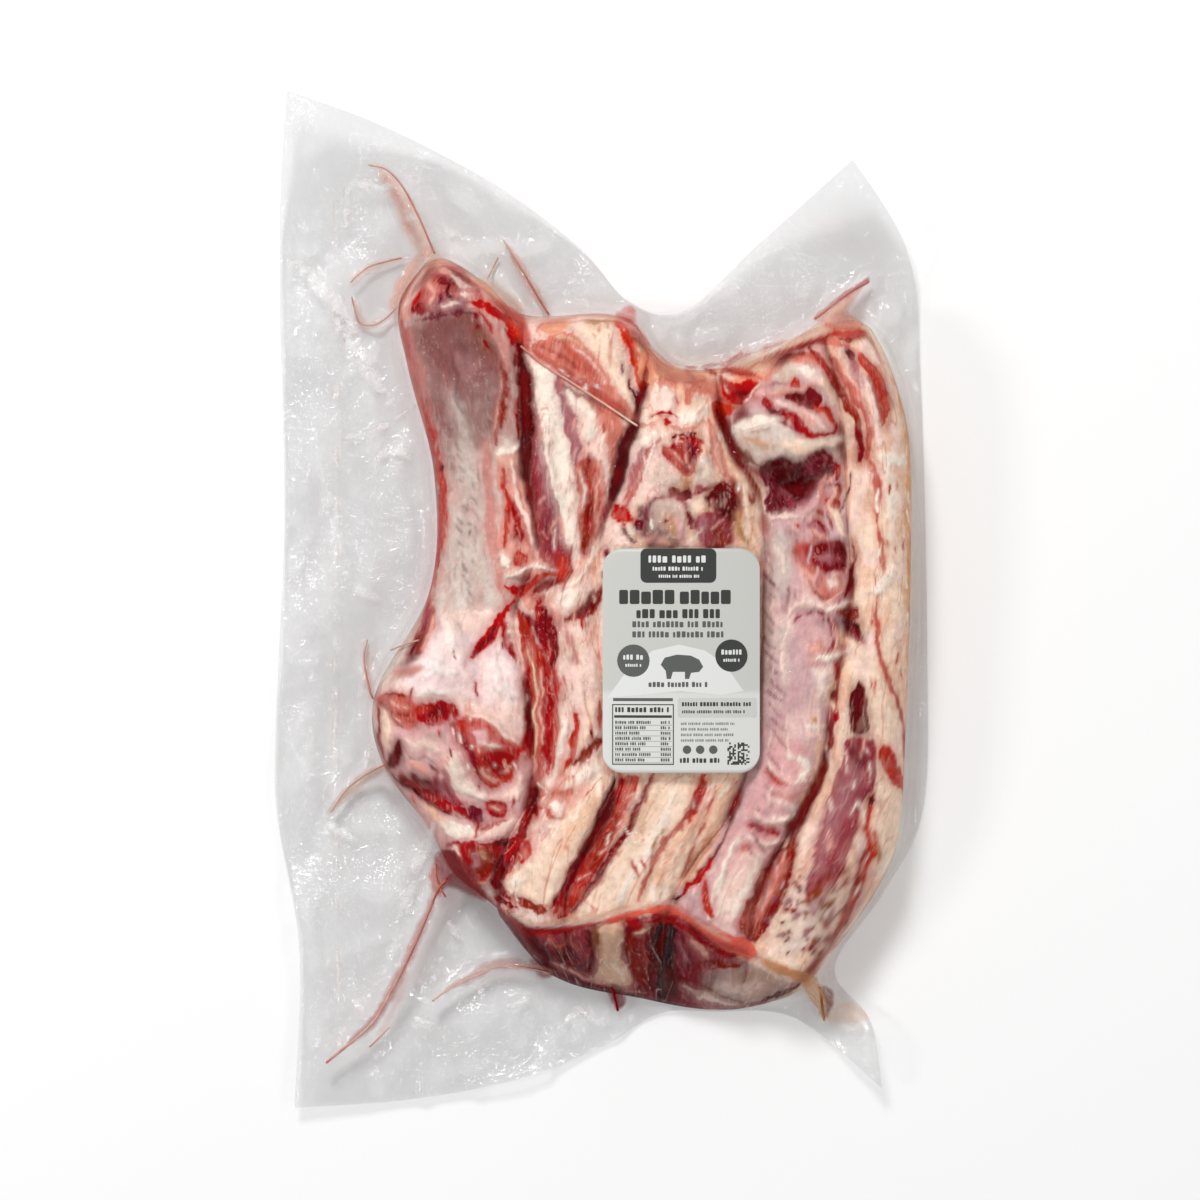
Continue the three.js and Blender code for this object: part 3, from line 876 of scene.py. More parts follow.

# On the lean band the three small white dots on the salmon flap are painted glints, and the dark line under the
# flap's crest is a groove darkened with painted shadow.
LEAN_BAND_MARKS = read_marks("""
BLUSH 524,316 560,316 600,314 620,318 637,345 645,380 640,425 600,402 556,384 526,352 0 6
SALMON 529,349 541,340 570,331 582,339 592,352 603,370 622,396 640,420 618,412 596,398 566,382 542,366 0 4
LEAN_LIGHT 552,338 572,352 588,368 600,388 9 6 0 .5
LEAN 538,348 552,354 566,361 582,372 5 6 -.5 .6
WHITE 560,372 564,375 3 2 .2
WHITE 572,378 577,380 3 2 .2
WHITE 583,386 588,389 3 2 .2
PEACH 556,338 574,340 586,352 4 4 .3 .7
BLUSH 574,346 590,362 606,384 3 3 .3 .7
CREAM 576,326 600,318 612,322 622,342 628,372 637,416 622,392 604,366 586,342 0 4 .5
GREY 606,328 616,340 622,362 626,384 9 6 0 .7
TAN 588,322 602,321 614,323 7 6 0 .9
CORAL 612,316 624,320 636,340 646,366 650,384 644,398 636,388 631,364 623,342
JUICE 626,340 634,362 640,384 6 5 0 .7
JUICE_DARK 643,372 647,384 641,396 6 4 -.6
MAUVE_DARK 620,363 623,374 3 2
MAUVE_DARK 629,368 630,384 636,396 638,412 3 2 -.4
PEACH 634,346 648,344 660,356 666,372 656,378 648,366 0 5 .4
JUICE_PALE 534,330 552,320 572,318 566,330 548,336 0 5
SALMON 534,336 540,326 552,320 568,318 3 4 0 .8
DEEP 556,381 572,392 590,402 612,414 624,420 6 4 -1.2
LEAN_DARK 556,384 561,398 566,410 572,420 6 4 -.8
SALMON 578,398 592,408 606,418 620,424 612,436 598,428 586,416 0 4
MAUVE 528,392 539,394 548,436 554,470 562,504 572,536 574,556 562,572 544,568 534,546 526,510 0 4 .6
MAUVE_PALE 534,400 541,440 550,490 562,540 13 9 0 .9
LEAN 528,470 532,510 540,550 552,568 7 7 0 .8
PINK 546,500 540,506 2 3 .2 .7
PINK 556,520 550,528 552,536 2 3 .2 .7
PINK 542,530 546,540 2 3 .2 .7
WHITE 530,366 545,364 557,377 562,405 568,440 571,462 579,495 577,530 572,548 565,547 562,520 553,490 546,460
  541,430 536,390 0 3 .5
MAUVE_PALE 558,380 566,410 574,440 576,466 12 4
LEAN_PINK 573,462 594,456 617,462 612,490 600,505 598,540 590,556 580,552 579,500 0 6
LEAN_BROWN 588,470 590,500 588,530 586,552 9 6 0 .8
BLUSH 580,470 584,490 582,512 4 4 .4
PINK 600,466 598,488 594,510 5 4 .3
WHITE 568,392 580,404 592,422 594,438 9 3 .4
SALMON 592,398 612,414 614,440 614,466 15 5
BLUSH 602,436 596,452 606,470 606,486 8 6
LEAN_BROWN 590,500 588,520 585,546 10 6
LEAN_LIGHT 560,556 564,572 560,584 13 4 .6
LEAN_BROWN 567,552 571,572 563,592 2 2
DEEP 636,426 625,444 622,469 618,489 7 4 -2
SALMON 600,505 604,520 596,545 604,500 8 6
BLUSH 612,500 606,530 603,560 14 6
LEAN_DARK 602,548 609,556 6
WHITE 632,465 622,490 612,512 598,540 590,561 574,586 560,600 6 3 .8
BLUSH 570,600 600,560 602,780 566,782 556,640 0 5
WHITE 555,595 589,590 572,607 560,610 0 3 .8
LEAN_BROWN 566,620 580,614 592,604 603,588 11 5 -1.6
LEAN_DARK 572,617 584,612 594,602 4 3 -.6
CREAM 560,640 570,652 590,640 8 8
SKIN_PINK 566,626 570,640 574,660 6 6
SKIN_PINK 586,626 590,650 3 4
SKIN_PINK 575,650 577,664 3
SKIN_PINK 564,676 566,696 4 4
LEAN_DARK 543,608 550,630 558,650 11 4
LEAN 538,600 544,640 550,660 554,690 551,728 550,760 13 4
LEAN_DARK 540,650 543,690 540,730 538,760 8 4
PINK 544,652 552,672 3
PINK 536,660 534,700 535,738 3 2 .5
PINK 541,704 543,720 5
LEAN 537,618 545,650 541,688 542,734 541,764 534,794 8
WHITE 561,705 563,736 553,776 7 3 .6
LEAN_LIGHT 577,712 574,744 565,772 8
CREAM 590,700 589,728 580,752 9 4
LEAN_PINK 601,700 601,730 5 4
LEAN_BROWN 572,764 580,757 590,748 603,740 10 5 -1.4
WHITE 566,786 582,774 603,764 10 5 .6
CREAM 531,756 530,776 8 4
LEAN 539,740 538,760 534,780 5
LEAN_PINK 522,690 526,730 526,770 522,800 12 10 0 .5
PINK 536,700 540,740 542,780 8 8 0 .5
LEAN_PINK 530,706 533,750 530,796 14 12 0 .35
SALMON 541,795 556,792 574,790 8 5
WHITE 550,802 562,806 9 5 .6
LEAN_PINK 540,806 560,816 566,806 6 6
CREAM 502,880 530,860 562,820 590,788 604,774 616,772 606,802 590,834 575,862 551,907 535,899 512,892 0 4 .8
PEACH 560,850 580,820 600,796 18 12
WHITE 508,880 524,878 10 6 .6
LEAN_PINK 515,846 528,838 534,852 518,862 0 4
LEAN 521,838 511,862 494,887 8 4
LEAN_DARK 496,898 515,904 8 4
LEAN_BROWN 518,896 532,904 548,908 12 5
LEAN_DARK 500,892 512,895 6 4
""")

# On the knuckle the dark mauve and dark skin marks on the grey bumps from 640,500 to 676,548 are painted shade.
KNUCKLE_MARKS = read_marks("""
JUICE_PALE 640,340 664,355 690,366 721,359 770,352 779,386 760,381 738,409 721,400 696,393 672,390 650,388 636,380
  0 5
SALMON 652,386 672,374 700,376 724,386 744,396 728,408 706,398 684,390 664,392 0 7 0 .8
PEACH 656,378 676,368 700,370 716,374 7 5 .4
CREAM 709,378 722,374 738,378 724,383 0 3 .5
SALMON 688,382 704,392 720,398 732,402 3 3 0 .8
JUICE 722,386 736,382 752,380 762,384 754,396 738,406 724,400 0 5
JUICE_DARK 734,392 745,390 752,394 742,400 0 4
CORAL 722,366 740,372 760,380 4 3 .4
BLUSH 746,402 752,394 762,384 2 2 .5
PEACH 744,368 760,362 770,364 764,374 750,374 0 4 .3
SALMON 720,362 724,372 740,368 3 3 0 .7
BLUSH 646,398 656,389 668,388 675,398 674,412 662,418 650,414 0 4 1.2
PINK 648,414 662,420 676,414 677,400 3 3 .3
PEACH 676,386 682,380 684,396 680,402 0 3 .4
LEAN_PINK 676,398 678,408 4
SALMON 686,386 692,396 690,407 684,406
WHITE 668,414 680,420 696,416 710,406 12 5 .8
CORAL 712,404 722,402 738,408 726,420 716,430 713,416 0 3 -.3
JUICE 652,420 664,415 676,419 3
JUICE 660,421 670,422 672,427 664,429
SALMON 628,432 640,428 654,428 6 5 0 .8
LEAN_PINK 668,428 682,430 696,428 6 5 0 .7
LEAN_BROWN 636,426 626,440 622,454 7 5 -.6
SALMON 618,426 616,446 614,462 9 6 0 .7
BLUSH 629,438 657,432 668,440 662,454 674,473 679,484 665,493 645,505 634,506 618,506 622,471 0 4 .4
WHITE 634,444 650,434 664,438 656,450 644,456 0 5 .6
GREY 656,462 668,470 680,480 674,490 656,488 650,476 0 6 .4 .7
LEAN_PINK 660,440 646,456 634,476 624,500 6 4 -.3
MAUVE_PALE 650,452 642,470 634,490 3 3 -.3
WHITE 656,438 646,464 636,492 2 2 .4
LEAN_PINK 640,476 632,492 626,506 6 5 0 .9
MAUVE 624,440 619,462 616,486 612,500 10 5 -1.2
MAUVE_DARK 622,456 617,472 614,492 5 4 -.8
MAUVE_PALE 640,452 634,470 626,488 8 6 0 .8
LEAN 660,452 668,446 682,438 697,437 703,444 698,458 693,478 684,478 674,470 664,460 0 4 -.5
LEAN_PINK 664,450 672,456 678,466 6 4 .3
MAUVE_DARK 688,446 692,456 688,468 6 4 -.3
PINK 668,448 676,456 682,464 2 2 .3
PINK 686,444 686,458 690,470 2 2 .3
PINK 676,443 684,446 2 2 .3
JUICE_DARK 672,439 684,436 697,434 5
PEACH 700,446 704,454 700,460 5 3 .5
GREY 694,466 708,456 718,478 706,492 692,488 0 5 .8
WHITE 700,462 706,470 700,480 6 6 .4 .8
SALMON 708,424 714,446 722,466 732,484 12 6
PINK 711,430 716,452 722,472 3 2 .4
PEACH 722,446 728,462 740,480 6 4 .4
LEAN_PINK 728,446 738,462 748,478 6 5
BONE 680,480 686,486 684,494 7 4 .3
LEAN_BROWN 664,492 674,488 682,494 674,500 0 4
DEEP 676,496 686,492 696,492 688,503 678,504 0 3 -.6
MAUVE 692,496 704,490 712,488 7 5
SKIN 638,508 648,500 664,496 678,505 684,520 680,545 650,550 636,531 0 5 .8
SKIN_DARK 640,512 646,524 650,540 12 8 0 .8
GREY 658,503 670,506 676,514 9 5 .6
BONE 666,516 670,530 670,546 12 6 .3
SKIN_DARK 642,536 652,532 660,534 6 5 -.4
MAUVE_DARK 664,524 668,522 3 3 -.3
MAUVE_DARK 634,520 642,518 645,528 638,532 0 3 -.6
PINK 646,544 656,540 666,544 7 5 .4
MAUVE_DARK 652,500 646,512 650,522 4 5 -.6 .8
MAUVE 656,499 668,497 682,504 688,514 4 4 -.4 .9
SKIN_DARK 648,548 662,534 676,546 8 9 0 .6
SKIN_ROSE 680,520 682,536 686,548 8 5 .4
MAUVE_DARK 686,510 694,516 698,528 690,530 0 4 -.6
MAUVE 698,514 710,510 722,512 733,526 729,549 704,550 696,538 0 5 .4
MAUVE_PALE 702,516 704,530 700,544 7 5 .4
LEAN_BROWN 716,530 722,540 718,550 12 6
PINK 712,530 718,524 724,520 3 2 .4
BLUSH 690,546 696,536 702,528 3 3 .3
DEEP 700,502 710,490 722,482 734,484 741,494 740,512 735,528 724,520 712,510 0 5 -1.6
JUICE_DARK 714,488 724,484 732,490 7 5
LEAN_BROWN 736,486 740,500 739,514 5 5
DEEP 708,500 718,500 726,508 8 7 -.6 .9
DEEP 622,528 630,534 638,546 630,548 0 5 -1
JUICE 613,504 626,506 632,516 630,526 618,524 608,514 0 4 -.6
BLUSH 600,546 606,532 616,530 626,540 634,549 0 6 .5
LEAN_DARK 602,550 606,556 5
CREAM 738,462 752,474 765,488 760,531 750,550 738,548 742,510 0 4
TAN 736,516 740,532 746,546 7 5
PEACH 748,512 752,530 758,545 4
LEAN_BROWN 746,494 752,492 755,500 750,508
LEAN_PINK 716,426 730,448 748,466 764,482 5 4
DEEP 718,412 724,430 736,450 752,466 7 4 -1.5
LEAN_LIGHT 620,772 643,772 629,808 600,865 573,911 550,922 586,836 607,800 0 3 .5
LEAN 622,776 612,800 598,830 7 6
LEAN 588,842 578,862 566,886 556,908 12 6
LEAN_BROWN 618,812 604,842 590,868 9 7 0 .8
PINK 634,790 626,794 2 2
PINK 622,816 616,824 2 2
PINK 606,846 598,852 2 2
PINK 590,872 580,878 2 2
DEEP 617,771 606,796 592,832 3 2 -1.2
LEAN_DARK 587,838 570,872 551,906 2 2 -.8
PINK 641,782 625,811 600,869 569,916 2 2 .4
LEAN_DARK 654,772 646,790 629,826 606,862 586,894 572,910 8 4 -1.2
CREAM 658,772 702,772 696,800 676,822 656,852 634,903 590,915 576,911 611,869 637,829 0 4 .4
WHITE 676,790 660,826 640,860 618,900 8 8 .4
BONE 650,800 640,822 632,842 8 6 0 .6
TAN 662,826 652,844 2 2
LEAN_PINK 694,804 672,830 654,858 646,876 638,896 7 4
PEACH 694,822 678,846 656,880 14 6 .6
LEAN_PINK 716,784 706,812 694,846 680,880 2 2 -.3
LEAN_LIGHT 700,770 708,776 704,796 694,818 686,824 690,800 0 4 -.4
MAUVE 700,790 692,810 5 4 0 .8
PINK 708,792 700,806 2 2
PEACH 732,776 722,806 704,850 684,884 10 5
DEEP 744,772 739,790 730,818 721,842 707,861 692,880 675,898 4 3 -2
JUICE 712,856 700,872 684,890 4
""")

# On the membrane strip the white along the top of its upper knuckle is fat and painted highlight, the brown mark
# below it is painted shade, and the mauve line under the ridge at 792,622 is a groove darkened with painted shadow.
MEMBRANE_MARKS = read_marks("""
SKIN_PALE 728,436 736,420 760,413 790,416 806,428 841,434 843,449 816,456 803,468 790,462 774,462 761,472 738,463 0
  4 1
WHITE 731,428 740,419 756,415 772,418 776,424 756,427 742,432 0 3 .8
CREAM 776,448 796,440 816,440 838,438 842,448 820,450 802,458 788,456 0 4 .5
WHITE 800,442 820,443 836,442 6 5 .4
BROWN 730,440 738,452 750,462 760,468 9 7 -.6 .8
TAN 744,440 760,446 770,452 9 7 0 .7
BROWN 746,434 766,432 4 5 0 .5
LEAN_DARK 778,424 788,430 796,434 3 3 -.3 .8
SALMON 762,384 770,368 782,356 806,352 822,362 814,370 796,364 780,372 772,386 0 4
LEAN_BROWN 778,362 790,356 806,356 5 4 0 .8
GREY 768,388 774,374 786,366 796,368 800,380 788,390 776,396 0 5
MAUVE_PALE 766,390 776,386 788,388 6 5 0 .8
WHITE 792,370 804,367 814,371 812,378 802,380 0 4 .7
LEAN_LIGHT 787,392 792,382 797,381 799,391 0 2
PINK 760,398 778,396 798,393 806,386 818,388 5 3 .5
LEAN 758,402 766,400 774,404 772,414 762,410 0 4
MAUVE_DARK 770,412 778,416 784,412 6 4
BLUSH 776,404 788,410 800,416 814,422 822,432 6 3 .4
LEAN_DARK 780,400 790,396 802,394 808,387 817,391 822,402 814,412 800,409 790,406 0 3 -1
DEEP 790,400 802,401 812,405 6 5 -.4 .8
LEAN 780,416 790,414 798,420 806,430 818,436 830,434 833,426 824,416 814,410 826,410 838,426 832,438 816,440 800,436
  788,424
LEAN 782,418 794,428 808,437 824,438 6 4 .2
LEAN_LIGHT 814,410 824,418 832,428 8
PINK 800,416 806,422 812,428 5 3 .3 .9
PINK 818,416 824,424 830,430 3 2 .3 .9
CREAM 822,384 834,398 846,420 850,436 13 5 .4
MAUVE_DARK 755,470 768,460 782,461 800,465 816,453 832,458 836,472 822,484 808,498 797,505 790,516 768,518 762,506
  768,492 0 4 -1.8
DEEP 760,470 772,463 786,467 800,470 804,478 800,496 790,500 782,492 774,480 0 6 -1.4
DEEP 796,500 808,486 822,474 832,466 8 5 -.8
LEAN_DARK 806,462 816,456 826,460 8 6 .3
MAUVE 806,470 812,462 820,458 4 4 .4
DEEP 774,498 780,500 778,508 772,508 0 3 -.8
MAUVE 780,488 786,496 790,508 784,514 6 4 .5
MAUVE_PALE 796,508 806,498 818,486 8 6 .6
SKIN_ROSE 794,520 806,510 816,496 824,486 6 5 .9
BLUSH 770,520 784,517 800,518 6 4 .9
JUICE 793,526 797,529 4
SKIN_PINK 822,476 822,500 818,524 812,540 10 7
LEAN 834,464 838,474 834,482 8 4 .3
LEAN_BROWN 830,486 838,488 836,498 8 4 .3
LEAN 826,500 834,504 828,514 8 4 .3
LEAN_BROWN 818,512 826,520 830,530 5
PINK 828,478 834,492 828,506 832,520 3 2 .5
PEACH 842,470 846,484 842,500 7 5 .4
MAUVE_DARK 851,474 848,490 842,504 838,514 2 2 -.4
CREAM 832,512 836,520 842,536 7 4 .8
SKIN_LILAC 766,528 776,530 790,540 10 8
SKIN 764,540 764,580 765,640 767,700 762,740 18 12 0 .8
SKIN_DARK 786,532 794,536 796,544 6 7 -.8 .6
SKIN_PALE 770,526 784,532 794,556 788,588 776,600 768,566 0 12 .6 .8
SKIN_PALE 776,622 792,634 800,664 790,692 776,668 0 12 .6 .7
WHITE 772,548 780,556 782,572 8 9 .4 .7
SKIN_DARK 790,590 784,600 786,612 5 7 -.6 .5
MAUVE_PALE 802,524 812,520 820,526 826,536 812,540 0 5
LEAN_DARK 814,522 820,526 824,532 4 3 -.3
PINK 808,530 818,536 826,542 3 3 .4
LEAN_PINK 792,548 806,540 822,546 820,568 804,572 792,562 0 13
LEAN 802,548 816,544 824,556 812,568 0 10
LEAN_DARK 812,546 826,540 840,541 845,556 843,573 830,576 816,570 812,558 0 9 -.9
DEEP 832,546 840,556 838,570 7 6 -.4
MAUVE_PALE 818,558 826,557 828,564 6 4 .7
MAUVE 830,562 836,558 838,566 5 3 .4
LEAN_PINK 802,570 812,568 826,578 840,574 842,586 830,600 818,600 808,588 0 5 .6
PINK 804,572 812,584 820,596 5 4 .6
WHITE 822,580 830,577 838,581 830,589 0 7 .8 .8
LEAN_BROWN 812,592 822,598 834,596 4 4 -.4
PINK 846,550 848,572 840,590 824,602 3 2 .9
LEAN_DARK 850,542 853,560 850,578 842,596 6 4 -1.2
LEAN 838,598 834,604 828,608 4
BLUSH 788,614 794,606 806,603 820,604 8 5 1.3
WHITE 824,609 836,606 848,601 5 3 .9
MAUVE 792,622 802,613 812,610 822,612 3 3 -1.4
LEAN_BROWN 832,612 844,606 857,607 858,620 846,622 0 4
DEEP 838,620 850,618 860,624 862,642 852,646 844,634 0 4 -.6
MAUVE 850,632 856,640 862,644 5 4 .3
LEAN_DARK 822,618 830,622 832,640 828,656 9 4
PINK 832,624 834,640 831,656 3 2 .6
PEACH 838,632 842,646 6 4 .5
SKIN_PINK 800,658 806,646 818,640 824,648 818,662 806,668 0 6 .6
PINK 808,650 816,646 6 4 .4
WHITE 810,657 824,658 838,653 850,648 5 2 1.2
CREAM 848,642 856,650 862,656 6 4 .6
MAUVE_PALE 794,674 804,666 822,664 3 3 -1
WHITE 806,668 816,674 820,690 12 10 .6 .8
LEAN 836,660 838,672 834,688 831,724 826,760 6
JUICE 833,662 836,672 832,680 4 4
LEAN_DARK 830,686 834,690 830,700 826,694
CREAM 828,668 832,680 826,694 832,706 5 3 .7
PEACH 842,668 846,684 842,700 9 5 .7
TAN 811,718 814,722 7
WHITE 803,726 826,726 5 3 1
PEACH 818,735 816,760 8 4
SKIN_ROSE 756,740 810,740 806,767 812,781 789,826 783,846 760,876 739,927 706,917 710,879 721,847 739,794 0 6
SKIN_LILAC 772,690 764,730 748,780 734,820 14 12
SKIN_LILAC 790,640 798,680 790,710 24 16
LILAC_MARK 786,590 796,602 3 4 -.6
BLUSH 767,765 778,774 792,780 815,780 4 3 1.2
LEAN_PINK 764,770 774,778 786,782 6 4 -1
JUICE 770,776 778,780 3 3 -.4 .7
WHITE 784,754 800,758 808,770 796,776 5 5 1
SKIN_PINK 772,792 786,796 800,790 9 7 -.6
BLUSH 755,811 764,820 778,820 792,814 4 3 1.2
LEAN 748,822 762,828 778,832 6 5 -1
WHITE 776,800 792,806 790,818 774,816 5 5 .8
BLUSH 742,832 754,838 768,841 784,837 4 3 1.2
LEAN_PINK 740,846 750,846 7 6 -.6
WHITE 744,866 730,890 718,912 13 8 .4
SKIN_PINK 756,852 744,874 730,894 10 8
BLUSH 752,846 768,852 760,876 742,920 716,914 722,884 734,856 0 10 0 .6
WHITE 758,858 750,880 738,900 730,916 13 9 .4 .8
WHITE 736,835 722,870 710,905 708,916 5 4 .8
LEAN_LIGHT 704,880 706,900 712,912 10 5
LEAN_BROWN 829,740 826,757 820,778 808,798 798,820 790,842 786,854 8 3 -1
PEACH 818,760 812,780 800,800 792,822 5 4
LEAN_BROWN 768,856 786,842 796,834 788,880 777,908 758,942 735,930 744,901 0 4
LEAN_LIGHT 774,854 784,850 778,874 762,908 752,932 738,926 748,900 762,876 0 8 .3 .9
SALMON 778,856 768,882 754,910 746,928 19 8 0 .85
PINK 774,866 764,890 752,914 8 8 0 .4
LEAN_DARK 792,850 786,878 772,906 762,930 4 5 -.5 .8
PINK 784,850 778,862 2 2 .3
PINK 772,886 764,896 2 2 .3
JUICE_DARK 796,838 790,862 782,886 3 3 -.6
PINK 762,870 758,900 750,922 2 2
""")

RIND_MARKS = read_marks("""
PEACH 842,330 866,334 890,352 900,380 12 8
CREAM 862,322 880,330 890,346 886,358 872,344 0 6 .4
PEACH 800,338 830,318 866,312 868,340 830,350 0 10 0 .5
CORAL 826,338 840,334 866,334 6 4 -.3
JUICE_DARK 838,340 850,342 856,339 5 4 -.4
SALMON 812,346 826,342 842,346 850,352 8 6
MAUVE_PALE 846,360 856,378 862,392 12 7 0 .9
LEAN_BROWN 808,350 820,362 832,380 840,396 850,414 856,436 858,458 9 3 .2
LEAN_LIGHT 814,358 826,372 836,390 6 4 .3
PINK 814,350 828,362 840,382 850,400 858,418 3 2 .5
LEAN_PINK 830,362 844,382 856,402 866,424 868,446 862,462 10 4 .2
PINK 838,364 850,384 862,408 871,434 3 2 .4 .8
LEAN_DARK 852,432 858,446 856,462 9 4
DEEP 843,350 852,351 853,360 844,362 0 3 -.5
LEAN_LIGHT 856,350 868,362 880,378 888,396 888,414 881,434 875,416 873,396 864,374 854,362 0 3 .4
LEAN_BROWN 866,380 872,396 876,414 880,430 5 4 0 .8
LEAN_PINK 862,360 876,376 884,392 5 4 0 .8
BLUSH 862,384 868,402 874,424 876,446 7 5 .5
WHITE 878,460 894,462 906,456 13 8 .6
LEAN_PINK 868,464 874,484 875,506 8 4
RIND 896,376 904,416 909,450 908,500 908,560 909,620 911,666 914,700 7 7 0 .8
WHITE 884,470 892,500 890,540 11 10 .3 .8
LEAN_PINK 873,510 876,530 880,556 881,580 6 4
WHITE 866,590 880,586 890,570 12 8 .8
LEAN_PINK 876,596 874,616 876,640 880,664 890,690 902,718 906,760 5
DEEP 856,676 864,692 871,732 848,734 844,714 848,696
MAUVE 846,736 873,734 875,760 873,784 860,800 856,829 839,878 821,902 810,917 801,884 815,840 824,815 830,785
  842,752 0 3 .6
MAUVE_DARK 852,748 860,764 14 9 0 .8
MAUVE_PALE 858,770 846,790 834,806 824,830 818,856 14 10 0 .9
PINK 818,812 826,816 3 3 .2 .8
PINK 808,846 820,850 828,846 3 3 .2 .8
PINK 812,876 824,884 3 4 .2 .7
BLUSH 838,790 850,782 3
MAUVE_PALE 848,756 862,770 852,800 836,830 820,866 812,890 810,868 824,826 834,792 0 14 0 .75
MAUVE 862,772 850,806 838,840 828,868 7 10 0 .6
LEAN_LIGHT 878,742 892,749 904,776 906,794 890,781 876,758 0 4 .3
CREAM 880,792 897,790 900,829 897,856 883,880 874,866 871,811 0 4 .4
TAN 872,830 878,860 5 5
WHITE 892,858 884,874 8 5
LEAN_LIGHT 873,792 866,815 869,847 860,883 848,917 9 4
LEAN_BROWN 862,850 856,880 846,906 8 5
DEEP 868,796 874,800 10 4 -.5
WHITE 848,812 856,800 862,812 3
PEACH 856,836 848,868 840,884 3
SKIN_PALE 812,892 838,884 846,900 832,930 808,956 780,950 786,920 0 14 0 .55
BLUSH 862,910 850,930 834,950 820,968 10 5 .5
LEAN_PINK 850,898 838,926 828,938 6 4
CREAM 772,954 790,964 812,972 10 6
LILAC_MARK 776,936 782,932 6 3 0 .8
LILAC_MARK 792,918 800,912 5 3 0 .8
LILAC_MARK 800,934 806,928 5 3 0 .8
LILAC_MARK 784,902 790,896 5 3 0 .8
LILAC_MARK 826,916 834,906 6 3 0 .8
LILAC_MARK 836,890 842,880 5 3 0 .8
LILAC_MARK 764,920 770,914 4 3 0 .8
LILAC_MARK 812,942 818,936 5 3 0 .8
LILAC_MARK 770,898 776,892 4 3 0 .8
""")

# What is painted down the front of the strips, under the fold and over the strips' own marks. The front faces away
# from the key light, and painted shade darkens it: a thin black veil over the whole front, and black down the gap
# where two strips meet.
WALL_MARKS = read_marks("""
MAUVE 470,905 520,930 560,928 600,922 640,914 672,904 700,926 740,946 770,958 780,1010 700,1018 600,1006 530,985 0 9
MAUVE 500,905 536,930 590,926 594,952 590,984 560,978 545,956 520,930 0 5
MAUVE_DARK 536,946 552,956 574,966 586,972 14 9 0 .8
MAUVE_DARK 484,926 516,956 560,988 620,1006 690,1014 20 14 0 .8
DEEP 520,950 548,974 590,996 640,1004 8 10 0 .7
DEEP 552,946 564,944 574,952 570,962 558,958 0 5
LEAN_PINK 548,934 556,946 568,940 580,950 4 4 .3
LEAN 456,882 480,900 500,914 524,934 12 6
JUICE_DARK 454,884 479,898 496,913 515,928 529,950 545,975 7 4 -.6
JUICE_DARK 528,962 540,970 552,970 554,978 540,980 0 4
JUICE 530,934 546,930 562,928 5 4
PEACH 596,926 612,921 625,918 622,942 620,958 630,974 632,986 612,988 592,984 600,966 601,944 0 4 .5
BONE 598,930 603,948 602,964 5 4 0 .8
CREAM 612,964 622,974 622,982 8 5 .4
DEEP 590,928 592,950 588,974 7 5 -.6
BROWN 594,926 598,936 596,948 4 4
PINK 552,962 574,974 598,984 626,992 644,994 3 3 .6 .9
DEEP 556,974 574,982 596,990 620,996 646,998 7 4 -.4
DEEP 604,992 614,1004 620,1010 8 4
LEAN_DARK 626,922 650,932 656,960 652,990 634,990 628,970 624,946 0 5
LEAN_BROWN 630,938 632,958 638,980 9 6 0 .8
LEAN_PINK 642,938 645,956 647,978 4 3 .4
JUICE 628,916 634,922 638,930 6 4
PEACH 634,934 642,932 652,926 5 4 .4
JUICE 648,914 662,914 676,918 680,928 666,922 652,922 0 4 -.4
BLACK 658,916 678,922 676,960 680,1004 654,1004 658,970 654,940 0 6 -.9
DEEP 652,926 651,960 649,992 9 5 -.6
BLACK 667,922 665,960 666,1000 12 5 -.3
MAUVE 678,926 694,934 708,950 704,968 692,986 680,980 676,950 0 6
MAUVE_DARK 682,934 684,952 690,968 8 6
PINK 690,938 700,948 708,960 8 4 .5 .9
MAUVE_PALE 678,940 684,956 682,976 4 4
DEEP 680,976 684,984 694,990 7 5
BLUSH 684,988 700,996 718,1004 738,1008 9 5 .6
SKIN 704,972 722,966 748,956 800,972 800,986 772,1002 744,1010 716,1004 702,990 0 5 .6
BONE 724,974 752,968 780,978 770,994 744,1000 0 12 0 .6
CREAM 740,956 766,964 790,974 800,982 14 9 0 .8
BLUSH 722,986 742,990 762,984 12 9 .5 .8
LEAN_BROWN 700,962 716,962 730,964 744,960 7 6 -.4
DEEP 764,1004 782,996 800,984 6 4
BROWN 704,988 722,998 744,1006 4 5 0 .7
JUICE_DARK 690,924 704,938 718,948 736,954 6 4 -.4
BLACK 470,915 520,940 560,938 600,932 640,926 672,916 700,938 740,958 790,972 790,1010 700,1020 600,1012 530,990 0
  12 0 .26
DEEP 664,962 700,958 722,970 712,990 690,1006 662,1006 0 10 0 .5
""")


def strokes(tone: Tone, path: str, spacing: float, reach: float, seed: int) -> list[Mark]:
    """The faint slanting lines of muscle that show through the skin over a rib.

    Args:
        tone: Its colour.
        path: The line down its middle, on the layout sheet.
        spacing: Steps from one line to the next.
        reach: How far each line goes out, in steps.
        seed: Which unevenness it has.

    Returns:
        One thin band for each line.
    """
    rng = np.random.default_rng(SEED + seed)
    line = np.array([[float(n) for n in pair.split(",")] for pair in path.split()])
    run = np.concatenate(([0.0], np.cumsum(np.hypot(*np.diff(line, axis=0).T))))
    made = []
    for at in np.arange(0.0, run[-1], spacing):
        x, y = np.interp(at, run, line[:, 0]) + rng.uniform(-2, 2), np.interp(at, run, line[:, 1])
        long = reach * rng.uniform(0.5, 1.0)
        drop = long * rng.uniform(0.9, 1.5)
        text = f"{x:.0f},{y:.0f} {x + long * 0.4:.0f},{y + drop * 0.5:.0f} {x + long:.0f},{y + drop:.0f}"
        made.append(Mark(tone, text, rng.uniform(1.4, 2.4), 2.5, -0.2, rng.uniform(0.5, 1.0)))
    return made


